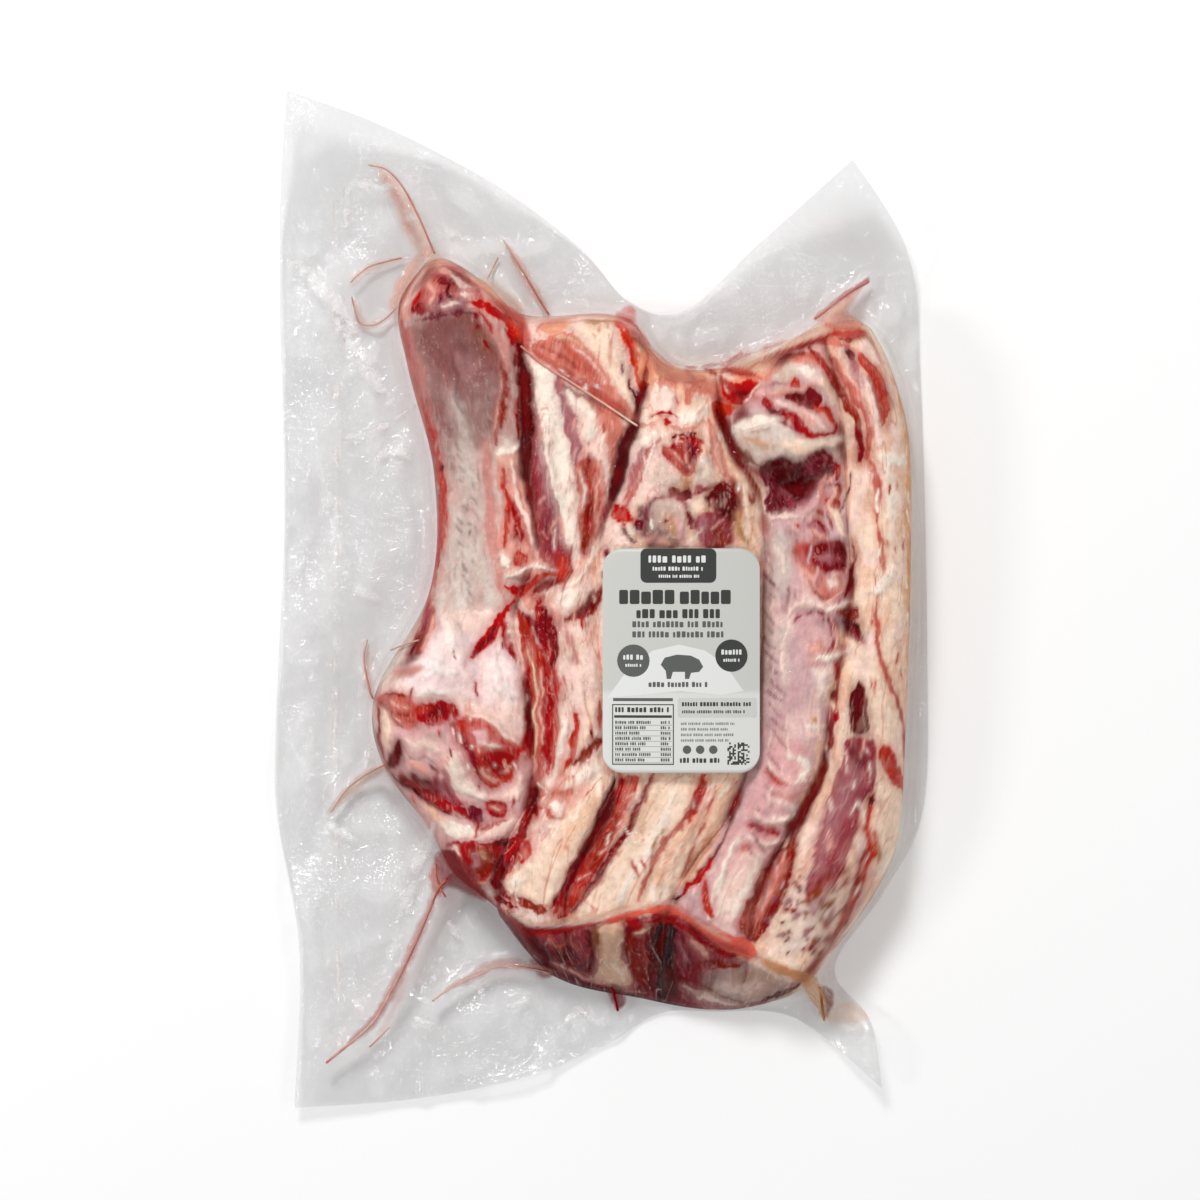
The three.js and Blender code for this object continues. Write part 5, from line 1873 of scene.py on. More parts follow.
@dataclass
class HeightMap:
    """Heights of the film over the whole pack on a grid of 1 mm.

    Attributes:
        shape: The pack's sizes.
        contents: The meat under the film.
        rounds: How often the film is pulled taut over what it lies on.
        skin: How far the film lies over the meat.
        low, size: The grid's lower left corner, and how many points it has each way.
        label_slope: How steeply the film falls away from the label: down, and out.
        film: The film's height at each point of the grid.
        bare: The height of what lies under it.
    """

    shape: PackShape
    contents: Contents
    rounds: int = 10
    skin: float = 0.35
    low: tuple[float, float] = (-154.0, -238.0)
    size: tuple[int, int] = (309, 477)
    label_slope: tuple[float, float] = (22.0, 9.0)
    film: np.ndarray = field(init=False)
    bare: np.ndarray = field(init=False)

    def __post_init__(self) -> None:
        """Lays the film over the meat and pulls it taut."""
        gx, gy = np.meshgrid(self.low[0] + np.arange(self.size[0]), self.low[1] + np.arange(self.size[1]))
        x, y = gx.ravel(), gy.ravel()
        lift = self.shape.lift(x, y)
        high = lift + 1.0 + self.wrinkles(x, y)
        for k in range(5):
            low, end = self.shape.sides(k, y)
            across = (2 * x - low - end) / (end - low)
            on = np.flatnonzero((np.abs(across) < 1) & (y > along(self.shape.foot_line, x) - 2)
                                & (y < along(self.shape.top_end, x) + 2))
            rise = self.contents.coat(k, x[on], y[on], across[on])[2]
            high[on] = np.maximum(high[on], self.contents.height(k, x[on], y[on], across[on], rise))
        self.bare = high.reshape(gx.shape)
        high = np.maximum(high, self.tents(x, y, lift))
        past = self.shape.label_distance(x, y) - self.shape.label_rim
        seat = self.shape.label_top(x) - 1.0
        down, out = self.label_slope
        high = np.where(past < 0, seat, np.maximum(high, seat - down * past / out))
        flat = (past < 0).reshape(gx.shape)
        held = np.where(flat, seat.reshape(gx.shape), self.grow(high.reshape(gx.shape)))
        film = held.copy()
        for _ in range(self.rounds):
            film = np.where(flat, held, np.maximum(held, self.blur(film)))
        self.film = np.where(flat, held, self.blur(film) * 0.5 + film * 0.5 + 0.1)

    @staticmethod
    def blur(grid: np.ndarray) -> np.ndarray:
        """The mean of each height and its neighbours."""
        wide = np.pad(grid, 1, mode="edge")
        rows = (wide[:-2] + wide[1:-1] + wide[2:]) / 3
        return (rows[:, :-2] + rows[:, 1:-1] + rows[:, 2:]) / 3

    @staticmethod
    def grow(grid: np.ndarray) -> np.ndarray:
        """The highest of each height and its neighbours."""
        wide = np.pad(grid, 1, mode="edge")
        rows = np.maximum(np.maximum(wide[:-2], wide[1:-1]), wide[2:])
        return np.maximum(np.maximum(rows[:, :-2], rows[:, 1:-1]), rows[:, 2:])

    def tents(self, x: np.ndarray, y: np.ndarray, lift: np.ndarray) -> np.ndarray:
        """The heights of the standing creases.

        Args:
            x, y: The points, across and along, in millimetres.
            lift: The height of the margin's underside.

        Returns:
            A height for each point.
        """
        best = np.zeros(x.shape)
        for tent in TENTS:
            far, share = line_distance(x, y, spline(tent.path, 24))
            size = 1 - 0.86 * share
            rise = tent.height * size * np.clip(1 - far / (0.5 * tent.width * size), 0, 1)
            best = np.maximum(best, lift + 0.9 + rise)
        return best

    def wrinkles(self, x: np.ndarray, y: np.ndarray) -> np.ndarray:
        """The soft folds of the empty margin, and the fine unevenness of the film.

        Args:
            x, y: The points, across and along, in millimetres.

        Returns:
            A height for each point.
        """
        free = smooth(2, 14, self.shape.outside(x, y))
        folds = 1 - np.abs(Noise(60).at(x, y * 0.6, 17.0, 2))
        total = (2.0 * smooth(0.6, 1.0, folds) ** 2 + 0.4 * Noise(61).at(x, y, 7.0, 2) + 0.35) * free
        for path, half, height in WRINKLES:
            far, share = line_distance(x, y, layout(path))
            total += height * np.exp(-((far / half) ** 2)) * np.sin(np.pi * np.clip(share, 0.02, 0.98)) ** 0.4 * free
        return total

    def gap(self, x: np.ndarray, y: np.ndarray) -> np.ndarray:
        """How far the film bridges over what it lies on, where juice pools."""
        return self.read(self.film - self.bare, x, y)

    def sample(self, x: np.ndarray, y: np.ndarray) -> np.ndarray:
        """The film's height at any points."""
        return self.read(self.film, x, y) + self.skin

    def read(self, grid: np.ndarray, x: np.ndarray, y: np.ndarray) -> np.ndarray:
        """Reads a grid between its points.

        Args:
            grid: A number for each point of the grid.
            x, y: The points, across and along, in millimetres.

        Returns:
            The number at each point.
        """
        fx = np.clip(x - self.low[0], 0, self.size[0] - 1.001)
        fy = np.clip(y - self.low[1], 0, self.size[1] - 1.001)
        ix, iy = fx.astype(int), fy.astype(int)
        tx, ty = fx - ix, fy - iy
        low = grid[iy, ix] * (1 - tx) + grid[iy, ix + 1] * tx
        high = grid[iy + 1, ix] * (1 - tx) + grid[iy + 1, ix + 1] * tx
        return low * (1 - ty) + high * ty


# The juice and blood caught between the film and what it lies on, and painted glints: white patches of haze on the
# film that stand for its reflections.
JUICE_MARKS = read_marks("""
JUICE_PALE 372,160 385,166 402,186 418,216 432,250 446,256 420,262 0 8 0 .35
SALMON 384,176 400,202 412,228 424,252 6 7 0 .5
JUICE_PALE 392,306 400,284 414,262 430,250 12 10 0 .6
PEACH 716,362 744,354 800,334 826,318 838,332 800,346 766,360 745,370 0 5 0 .9
JUICE 764,358 782,352 800,346 820,339 838,333 4 3 0 .9
CORAL 720,362 728,368 744,373 762,381 4 3 0 .8
JUICE_PALE 816,317 836,301 858,286 870,279 854,298 847,308 858,322 866,326 840,330 826,326 0 4 0 .8
SALMON 826,320 838,308 850,312 856,323 838,328 0 6 0 .6
LEAN_PINK 817,316 836,302 856,287 870,278 5
CORAL 824,322 834,330 842,336 864,334 6 4 0 .8
JUICE_PALE 640,320 648,344 662,360 684,369 706,374 706,384 684,384 660,380 648,366 0 6 0 .6
SALMON 636,326 646,340 658,354 672,366 4 3 0 .8
CORAL 614,314 624,306 634,303 637,318 630,322 622,318 0 4 0 .7
CORAL 536,353 560,370 600,396 636,420 7 5 0 .5
JUICE_PALE 480,280 500,294 520,310 14 8 0 .5
CORAL 498,302 514,314 524,330 528,350 9 6 0 .6
WHITE 502,904 524,918 545,924 590,920 626,908 660,900 4 3 0 .8
JUICE 524,928 546,928 572,926 600,920 6 4 0 .8
CREST 600,918 630,910 656,904 672,902 700,922 728,933 746,936 760,956 740,955 712,941 699,929 684,916 670,911
  640,913 610,922 0 4 0 .9
JUICE 640,921 668,918 684,926 702,940 720,951 740,958 4 4 0 .7
LEAN 690,922 706,934 724,944 744,950 5 6 0 .5
JUICE 600,920 616,918 628,914 4 4 0 .5
JUICE 650,914 664,910 676,916 3 4 0 .5
PEACH 700,922 716,932 730,938 3 4 0 .6
PINK 640,905 660,901 674,902 700,920 726,932 3 3 0 .8
PEACH 500,908 530,922 560,920 600,913 640,905 4 5 0 .7
RIND 752,950 770,960 792,968 816,976 820,990 798,980 772,970 0 5 0 .7
RIND 800,984 818,984 834,996 827,1024 816,1006 0 3 0 .9
BROWN 822,986 838,996 828,1024 824,1004 0 3 0 .9
PEACH 826,1024 840,1004 868,1010 880,1016 850,1028 0 8 0 .4
LEAN_PINK 662,356 690,367 721,361 770,346 800,334 2 2 0 .9
WHITE 668,352 692,362 722,355 752,346 2 2 0 .5
JUICE 700,366 716,374 730,392 3 3 0 .8
LEAN_PINK 742,352 726,366 712,386 2 2 0 .8
LEAN_PINK 684,369 694,380 700,396 2 2 0 .7
WHITE 770,350 800,340 824,332 2 2 0 .6
LEAN 433,858 446,846 460,856 474,874 490,902 474,898 456,890 444,888 437,900 431,882 0 5 0 .8
JUICE_DARK 474,896 456,884 444,874 436,864 6 5 0 .8
JUICE_DARK 606,990 622,994 628,1002 618,1015 612,1004 0 4 0 .8
JUICE_DARK 526,960 548,966 556,976 540,982 0 5 0 .7
SALMON 432,868 438,897 8 8 0 .8
SALMON 395,672 420,668 8 8 0 .6
LEAN_PINK 434,890 428,912 412,950 392,990 372,1024 350,1044 9 5 0 .6
PINK 410,950 396,1004 380,1036 8 8 0 .3
BONE 386,768 366,778 346,794 328,814 9 6 0 .55
SKIN_PINK 552,973 505,966 476,976 446,992 9 6 0 .55
THREAD_PALE 400,258 380,262 360,272 350,282 7 6 0 .4
THREAD_PALE 396,306 382,318 362,324 352,300 6 6 0 .4
THREAD_PALE 372,700 366,680 364,644 8 6 0 .4
SHEEN 287,257 312,280 334,304 346,330 357,356 374,382 392,404 15 10 0 .9
SHEEN 348,180 390,186 9 7 0 .9
SHEEN 346,183 345,234 4 5 0 .7
SHEEN 343,436 362,432 384,424 400,412 414,406 4 3 0 .95
SHEEN 378,454 392,450 408,456 9 6 0 .9
SHEEN 336,580 354,588 374,598 8 8 0 .8
SHEEN 318,466 326,490 320,520 10 9 0 .6
SHEEN 366,746 366,768 6 5 0 .9
SHEEN 318,824 336,830 352,842 7 6 0 .8
SHEEN 432,826 414,880 398,930 388,960 13 10 0 .8
SHEEN 448,926 456,940 8 6 0 .8
SHEEN 352,1002 362,1014 5 5 0 .9
SHEEN 416,1020 440,1032 4 4 0 .8
SHEEN 450,1048 480,1040 4 4 0 .7
SHEEN 506,1010 528,1002 4 4 0 .8
SHEEN 404,212 430,226 470,236 6 8 0 .7
SHEEN 335,200 334,420 333,640 334,860 338,1060 2 3 0 .6
SHEEN 560,1030 580,1014 590,1024 5 4 0 .8
SHEEN 549,366 560,370 570,378 3 2 0 .9
SHEEN 574,381 584,386 588,394 3 2 0 .9
SHEEN 596,386 602,396 3 2 0 .9
PINK 506,240 522,262 540,290 548,310 536,300 516,268 0 5 0 .5
""")


@dataclass
class FilmPouch:
    """The clear bag: an upper and a lower film welded along their edges, tinted where juice is caught.

    Attributes:
        shape: The pack's sizes.
        map: Where the upper film lies.
        columns, rows: Cells of the upper film; the lower one has half as many.
        weld: How high the weld stands over the margin's underside, in millimetres.
        clear: How far the lower film stays over the table.
        bridge: How far the film bridges over a hollow when juice starts to pool in it, and when it is full.
        pool: How strongly a full pool tints the film.
        caught: How strongly juice caught in a crease does.
    """

    shape: PackShape
    map: HeightMap
    columns: int = 216
    rows: int = 330
    weld: float = 0.7
    clear: float = 0.02
    bridge: tuple[float, float] = (1.6, 4.5)
    pool: float = 0.85
    caught: float = 0.9

    def faces(self) -> list[list[int]]:
        """The faces of both films, joined corner to corner along the edge.

        Returns:
            The corner numbers of each face.
        """
        columns, rows = self.columns, self.rows
        upper = grid_faces(columns, rows).tolist()
        start = (columns + 1) * (rows + 1)
        across, up = columns // 2, rows // 2

        def number(i: int, j: int) -> int:
            """The corner at a place of the lower grid, shared with the upper film along the edge.

            Args:
                i, j: Its place across and along the lower grid.

            Returns:
                Its number.
            """
            if i in (0, across) or j in (0, up):
                return 2 * j * (columns + 1) + 2 * i
            return start + (j - 1) * (across - 1) + i - 1

        lower = []
        for j in range(up):
            for i in range(across):
                ring = [number(i, j)]
                ring += [2 * j * (columns + 1) + 2 * i + 1] if j == 0 else []
                ring += [number(i + 1, j)]
                ring += [(2 * j + 1) * (columns + 1) + 2 * i + 2] if i == across - 1 else []
                ring += [number(i + 1, j + 1)]
                ring += [(2 * j + 2) * (columns + 1) + 2 * i + 1] if j == up - 1 else []
                ring += [number(i, j + 1)]
                ring += [(2 * j + 1) * (columns + 1) + 2 * i] if i == 0 else []
                lower.append(ring[::-1])
        return upper + lower

    def build(self, finish: bpy.types.Material) -> bpy.types.Object:
        """Makes the bag.

        Args:
            finish: The film's material.

        Returns:
            The bag's object.
        """
        x, y = self.shape.film_place(self.columns, self.rows)
        z = self.map.sample(x, y)
        rim = grid_rim(self.columns, self.rows)
        z[rim] = self.shape.lift(x[rim], y[rim]) + self.weld
        grid = np.arange(len(x)).reshape(self.rows + 1, self.columns + 1)[2:-2:2, 2:-2:2].ravel()
        under = np.column_stack((x[grid], y[grid], self.shape.lift(x[grid], y[grid]) + self.clear))
        points = np.vstack((np.column_stack((x, y, z)), under))
        piece = make_piece("film_pouch", points, self.faces(), finish)
        self.stain(piece, x, y)
        self.air_between(piece, points, len(x))
        edges = np.zeros(len(piece.data.edges) * 2, dtype=np.int32)
        piece.data.edges.foreach_get("vertices", edges)
        on_rim = np.isin(edges.reshape(-1, 2), rim).all(axis=1)
        piece.data.attributes.new("sharp_edge", "BOOLEAN", "EDGE").data.foreach_set("value", on_rim)
        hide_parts("bag")
        return piece

    def stain(self, piece: bpy.types.Object, x: np.ndarray, y: np.ndarray) -> None:
        """Tints the upper film where juice is caught or pools under it.

        Args:
            piece: The bag.
            x, y: The points of its upper film.
        """
        light, soak = np.zeros((len(x), 3)), np.zeros(len(x))
        ragged, patchy = 0.8 * Noise(90).at(x, y, 5.0, 3), smooth(-0.7, 0.2, Noise(91).at(x, y, 3.0, 2))
        # The marks include painted glints: white patches of haze that stand for the film's reflections, broken into
        # patches.
        for mark in JUICE_MARKS:
            edge, blur = mark.edge(x, y, mark.line()) + ragged, mark.blur * STEP * 0.5
            share = mark.cover * (1 - smooth(-blur, blur, edge)) * (patchy if mark.tone is T.SHEEN else 1)
            light += (mark.tone.light() - light) * share[:, None]
            soak += (1 - soak) * share
        tint = np.where(soak[:, None] > 1e-4, light / np.maximum(soak, 1e-4)[:, None], T.JUICE_PALE.light())
        inner = smooth(-3.0, -9.0, self.shape.outside(x, y)) * smooth(5.0, 13.0, self.shape.label_distance(x, y))
        pool = smooth(*self.bridge, self.map.gap(x, y)) * inner * self.pool
        deep = smooth(-0.2, 0.5, Noise(80).at(x, y, 16.0, 2))[:, None]
        blood = T.JUICE_DARK.light() * (1 - deep) + T.DEEP.light() * deep
        tint += (blood - tint) * (pool / np.maximum(pool + soak, 1e-6))[:, None]
        set_colours(piece, "Juice", tint)
        set_amounts(piece, "Soak", np.maximum(soak * self.caught, pool))

    def air_between(self, piece: bpy.types.Object, points: np.ndarray, upper: int) -> None:
        """Marks where the films lie dry, which is beyond the meat. The first points are the upper film's.

        Args:
            piece: The bag.
            points: All of its points.
            upper: How many of them are the upper film's.
        """
        outside = self.shape.outside(points[:, 0], points[:, 1])
        dry = (smooth(-2.0, 2.0, outside[:upper]), smooth(0.0, 6.0, outside[upper:]))
        set_amounts(piece, "Air", np.concatenate(dry))


# ---------------------------------------------------------------- juice drawn into creases


@dataclass(frozen=True)
class Thread:
    """A thread of juice and fat drawn into a crease of the film.

    Attributes:
        tones: Its colours from its start to its end.
        path: Its line on the layout sheet.
        width: Its width in steps.
        height: Its height in millimetres.
        taper: How thin its end is, 0 for a point, 1 for even.
    """

    tones: tuple[Tone, ...]
    path: str
    width: float
    height: float = 1.4
    taper: float = 0.15


THREADS = (
    Thread((T.THREAD, T.SALMON, T.THREAD_PALE), "434,252 418,215 402,185 385,167 368,163", 8, 0.9, 0.7),
    Thread((T.LEAN_PINK, T.THREAD, T.THREAD_PALE), "548,312 532,285 516,258 503,238", 7, 1.0, 0.6),
    Thread((T.THREAD_PALE, T.BONE), "487,276 492,265 497,255", 3, 0.8),
    Thread((T.THREAD, T.THREAD_PALE), "400,255 384,259 368,264 357,272 349,280", 3, 0.8),
    Thread((T.THREAD_PALE, T.THREAD), "395,306 384,316 375,322 365,323 356,318 350,295", 3, 0.7, 0.4),
    Thread((T.LEAN_PINK, T.THREAD_PALE), "372,698 368,690 362,660 365,640", 4, 0.9),
    Thread((T.THREAD_PALE, T.BONE), "390,650 406,644 420,640", 3, 0.8),
    Thread((T.LEAN_PINK, T.THREAD_PALE, T.THREAD_PALE), "385,765 365,775 345,790 330,812", 9, 0.8, 0.6),
    Thread((T.LEAN_PINK, T.THREAD, T.THREAD, T.THREAD_PALE, T.LEAN_PINK),
           "446,880 438,890 430,908 412,950 392,990 370,1026 325,1065", 11, 1.2, 0.2),
    Thread((T.THREAD_PALE, T.THREAD), "388,1030 378,1040 368,1050", 3, 0.8),
    Thread((T.THREAD, T.THREAD_PALE, T.THREAD_PALE), "550,975 505,968 475,978 450,990 432,1003", 9, 0.9),
    Thread((T.LEAN_PINK, T.THREAD), "444,896 436,882 434,866", 6, 1.0, 0.4),
    Thread((T.TAN, T.BROWN, T.TAN), "820,988 823,1006 826,1024", 3, 1.2, 0.4),
    Thread((T.THREAD, T.MAUVE_PALE), "816,317 836,302 852,290 870,279", 4, 1.4, 0.3),
    Thread((T.LEAN_DARK, T.LEAN_DARK), "612,990 616,1004 618,1014", 5, 1.2),
    Thread((T.SALMON, T.PINK, T.PEACH), "521,347 545,367 569,382 603,404 637,427", 3.5, 1.0, 0.6),
)


class JuiceThreads:
    """The threads of juice, each a ridge that follows its line: made with Geometry Nodes."""

    def __init__(self, lies_on: HeightMap, finish: bpy.types.Material) -> None:
        """Keeps what the threads lie on and their material."""
        self.lies_on = lies_on
        self.finish = finish
        self.tree = self.ridge_tree()

    @staticmethod
    def ridge_tree() -> bpy.types.NodeTree:
        """A tree that turns a line into a ridge with its own width, height and taper.

        Returns:
            The tree.
        """
        tree = bpy.data.node_groups.new("juice_ridge", "GeometryNodeTree")
        sockets = (("Geometry", "NodeSocketGeometry"), ("Width", "NodeSocketFloat"), ("Height", "NodeSocketFloat"),
                   ("Taper", "NodeSocketFloat"), ("Material", "NodeSocketMaterial"))
        for name, kind in sockets:
            tree.interface.new_socket(name, in_out="INPUT", socket_type=kind)
        tree.interface.new_socket("Geometry", in_out="OUTPUT", socket_type="NodeSocketGeometry")
        given = add_node(tree, "NodeGroupInput").outputs
        run = add_node(tree, "GeometryNodeSplineParameter").outputs["Factor"]
        size = add_node(tree, "ShaderNodeMapRange", {"To Min": 1.0}, {"Value": run, "To Max": given["Taper"]})
        line = add_node(tree, "GeometryNodeSetCurveRadius", {}, {"Curve": given["Geometry"],
                                                                 "Radius": size.outputs[0]})
        upright = add_node(tree, "GeometryNodeSetCurveNormal", {"mode": "Z_UP"}, {"Curve": line.outputs[0]})
        ring = add_node(tree, "GeometryNodeCurvePrimitiveCircle", {"Resolution": 10, "Radius": 0.5})
        scale = add_node(tree, "ShaderNodeCombineXYZ", {"Z": 1.0}, {"X": given["Height"], "Y": given["Width"]})
        section = add_node(tree, "GeometryNodeTransform", {},
                           {"Geometry": ring.outputs[0], "Scale": scale.outputs[0]})
        mesh = add_node(tree, "GeometryNodeCurveToMesh", {"Fill Caps": True},
                        {"Curve": upright.outputs[0], "Profile Curve": section.outputs[0]})
        real = add_node(tree, "GeometryNodeRealizeInstances", {}, {"Geometry": mesh.outputs[0]})
        dressed = add_node(tree, "GeometryNodeSetMaterial", {}, {"Geometry": real.outputs[0],
                                                                 "Material": given["Material"]})
        add_node(tree, "NodeGroupOutput", {}, {"Geometry": dressed.outputs[0]})
        return tree

    def build_one(self, number: int, thread: Thread) -> bpy.types.Object:
        """Makes one thread.

        Args:
            number: Its number, for its name.
            thread: Its line and sizes.

        Returns:
            The thread as a plain mesh piece.
        """
        line = spline([tuple(p) for p in layout(thread.path)], 60)
        z = self.lies_on.sample(line[:, 0], line[:, 1])
        curve = bpy.data.curves.new("thread_line", "CURVE")
        curve.dimensions = "3D"
        strand = curve.splines.new("POLY")
        strand.points.add(len(line) - 1)
        points = np.column_stack((line * MM, z * MM, np.ones(len(line))))
        strand.points.foreach_set("co", points.ravel())
        rough = bpy.data.objects.new("thread_line", curve)
        bpy.context.scene.collection.objects.link(rough)
        modifier = rough.modifiers.new("ridge", "NODES")
        modifier.node_group = self.tree
        names = {item.name: item.identifier for item in self.tree.interface.items_tree if item.in_out == "INPUT"}
        modifier[names["Width"]] = thread.width * STEP * MM
        modifier[names["Height"]] = thread.height * MM
        modifier[names["Taper"]] = thread.taper
        modifier[names["Material"]] = self.finish
        graph = bpy.context.evaluated_depsgraph_get()
        mesh = bpy.data.meshes.new_from_object(rough.evaluated_get(graph))
        bpy.data.objects.remove(rough)
        mesh.name = f"juice_thread_{number:02d}"
        mesh.shade_smooth()
        piece = bpy.data.objects.new(mesh.name, mesh)
        bpy.context.scene.collection.objects.link(piece)
        self.colour(piece, thread, line)
        return register(piece)

    @staticmethod
    def colour(piece: bpy.types.Object, thread: Thread, line: np.ndarray) -> None:
        """Colours a thread along its line.

        Args:
            piece: The piece.
            thread: What it is.
            line: Its line in millimetres.
        """
        points = np.zeros(len(piece.data.vertices) * 3)
        piece.data.vertices.foreach_get("co", points)
        points = points.reshape(-1, 3) / MM
        _, share = line_distance(points[:, 0], points[:, 1], line)
        tones = np.array([tone.light() for tone in thread.tones])
        steps = np.linspace(0, 1, len(tones))
        share = np.clip(share + 0.12 * Noise(70).at(points[:, 0], points[:, 1], 3.0), 0, 1)
        set_colours(piece, "Paint", np.column_stack([np.interp(share, steps, tones[:, c]) for c in range(3)]))

    def build(self) -> list[bpy.types.Object]:
        """Makes every thread."""
        return [self.build_one(number, thread) for number, thread in enumerate(THREADS)]


# ---------------------------------------------------------------- the label


class Ink(Enum):
    """Inks of the label."""

    CARBON = "#393b37"
    SLATE = "#5d5f5c"
    STONE = "#8f918d"
    ASH = "#d2d2ce"
    CHALK = "#e9eae7"


@dataclass
class Print:
    """The label's generic print: bars for words, plain shapes for pictures, no lettering.

    Attributes:
        shape: The pack's sizes.
        layer: How far each layer stands over the one before, in millimetres.
        strip: The widest part of a shape that stays flat over the label's bend.
    """

    shape: PackShape
    layer: float = 0.06
    strip: float = 3.0
    rings: dict = field(default_factory=lambda: {ink: [] for ink in Ink})

    def add(self, ink: Ink, ring: list[tuple[float, float]], level: int = 1) -> None:
        """Adds a filled outline, its corners in steps of the layout sheet."""
        self.rings[ink].append((ring, level))

    def bar(self, ink: Ink, x0: float, y0: float, x1: float, y1: float, round_off: float = 0.0,
            level: int = 1) -> None:
        """Adds a bar from its upper left to its lower right corner, with rounded corners.

        Args:
            ink: Its ink.
            x0, y0: Its upper left corner.
            x1, y1: Its lower right corner.
            round_off: The radius of its corners in steps.
            level: Its layer.
        """
        r = max(0.0, min(round_off, (x1 - x0) / 2, (y1 - y0) / 2))
        if r == 0:
            self.add(ink, [(x0, y0), (x0, y1), (x1, y1), (x1, y0)], level)
            return
        ring = []
        corners = ((x0 + r, y0 + r, -90), (x0 + r, y1 - r, 180), (x1 - r, y1 - r, 90), (x1 - r, y0 + r, 0))
        for cx, cy, start in corners:
            for step in range(6):
                angle = math.radians(start - 18 * step)
                ring.append((cx + r * math.cos(angle), cy + r * math.sin(angle)))
        self.add(ink, ring, level)

    def disc(self, ink: Ink, x: float, y: float, radius: float, level: int = 1) -> None:
        """Adds a filled circle."""
        turns = [math.tau * step / 28 for step in range(28)]
        self.add(ink, [(x + radius * math.cos(t), y - radius * math.sin(t)) for t in turns], level)

    def words(self, ink: Ink, x0: float, y0: float, x1: float, y1: float, seed: int, level: int = 1,
              narrow: float = 0.5, gap: float = 0.22) -> None:
        """Adds a row of blocks that stand for letters, in groups like words.

        Args:
            ink: Their ink.
            x0: Left end of the row.
            y0: Upper side.
            x1: Right end.
            y1: Lower side.
            seed: Which row it is.
            level: Its layer.
            narrow: The mean width of a block as a share of its height.
            gap: The gap between blocks as a share of the height.
        """
        rng = np.random.default_rng(SEED + seed)
        tall, x, left = y1 - y0, x0, int(rng.integers(3, 8))
        while x < x1 - 0.2 * tall:
            wide = min(tall * narrow * rng.uniform(0.7, 1.3), x1 - x)
            top = y0 + tall * rng.choice([0.0, 0.0, 0.12])
            self.bar(ink, x, top, x + wide, y1, tall * 0.12, level)
            left -= 1
            x += wide + tall * (gap if left > 0 else gap * 3.2)
            left = left if left > 0 else int(rng.integers(3, 8))

    def build(self, finishes: dict) -> list[bpy.types.Object]:
        """Makes one piece for each ink, bent like the label.

        Args:
            finishes: A material for each ink.

        Returns:
            The pieces.
        """
        made = []
        for ink, rings in self.rings.items():
            if not rings:
                continue
            work = bmesh.new()
            for ring, level in rings:
                z = self.layer * level
                spots = [((x - MIDDLE[0]) * STEP, (MIDDLE[1] - y) * STEP, z) for x, y in ring]
                work.faces.new([work.verts.new(spot) for spot in spots])
            middle, half = self.shape.label_middle[0], self.shape.label_size[0] / 2
            for at in np.arange(middle - half, middle + half, self.strip):
                every = work.verts[:] + work.edges[:] + work.faces[:]
                bmesh.ops.bisect_plane(work, geom=every, dist=1e-5, plane_co=(at, 0, 0), plane_no=(1, 0, 0))
            for vert in work.verts:
                vert.co.z += float(self.shape.label_top(np.float64(vert.co.x)))
            bmesh.ops.recalc_face_normals(work, faces=work.faces)
            for face in work.faces:
                if face.normal.z < 0:
                    face.normal_flip()
            bmesh.ops.scale(work, vec=(MM, MM, MM), verts=work.verts)
            mesh = bpy.data.meshes.new(f"label_print_{ink.name.lower()}")
            work.to_mesh(mesh)
            work.free()
            mesh.materials.append(finishes[ink])
            piece = bpy.data.objects.new(mesh.name, mesh)
            bpy.context.scene.collection.objects.link(piece)
            made.append(register(piece))
        return made


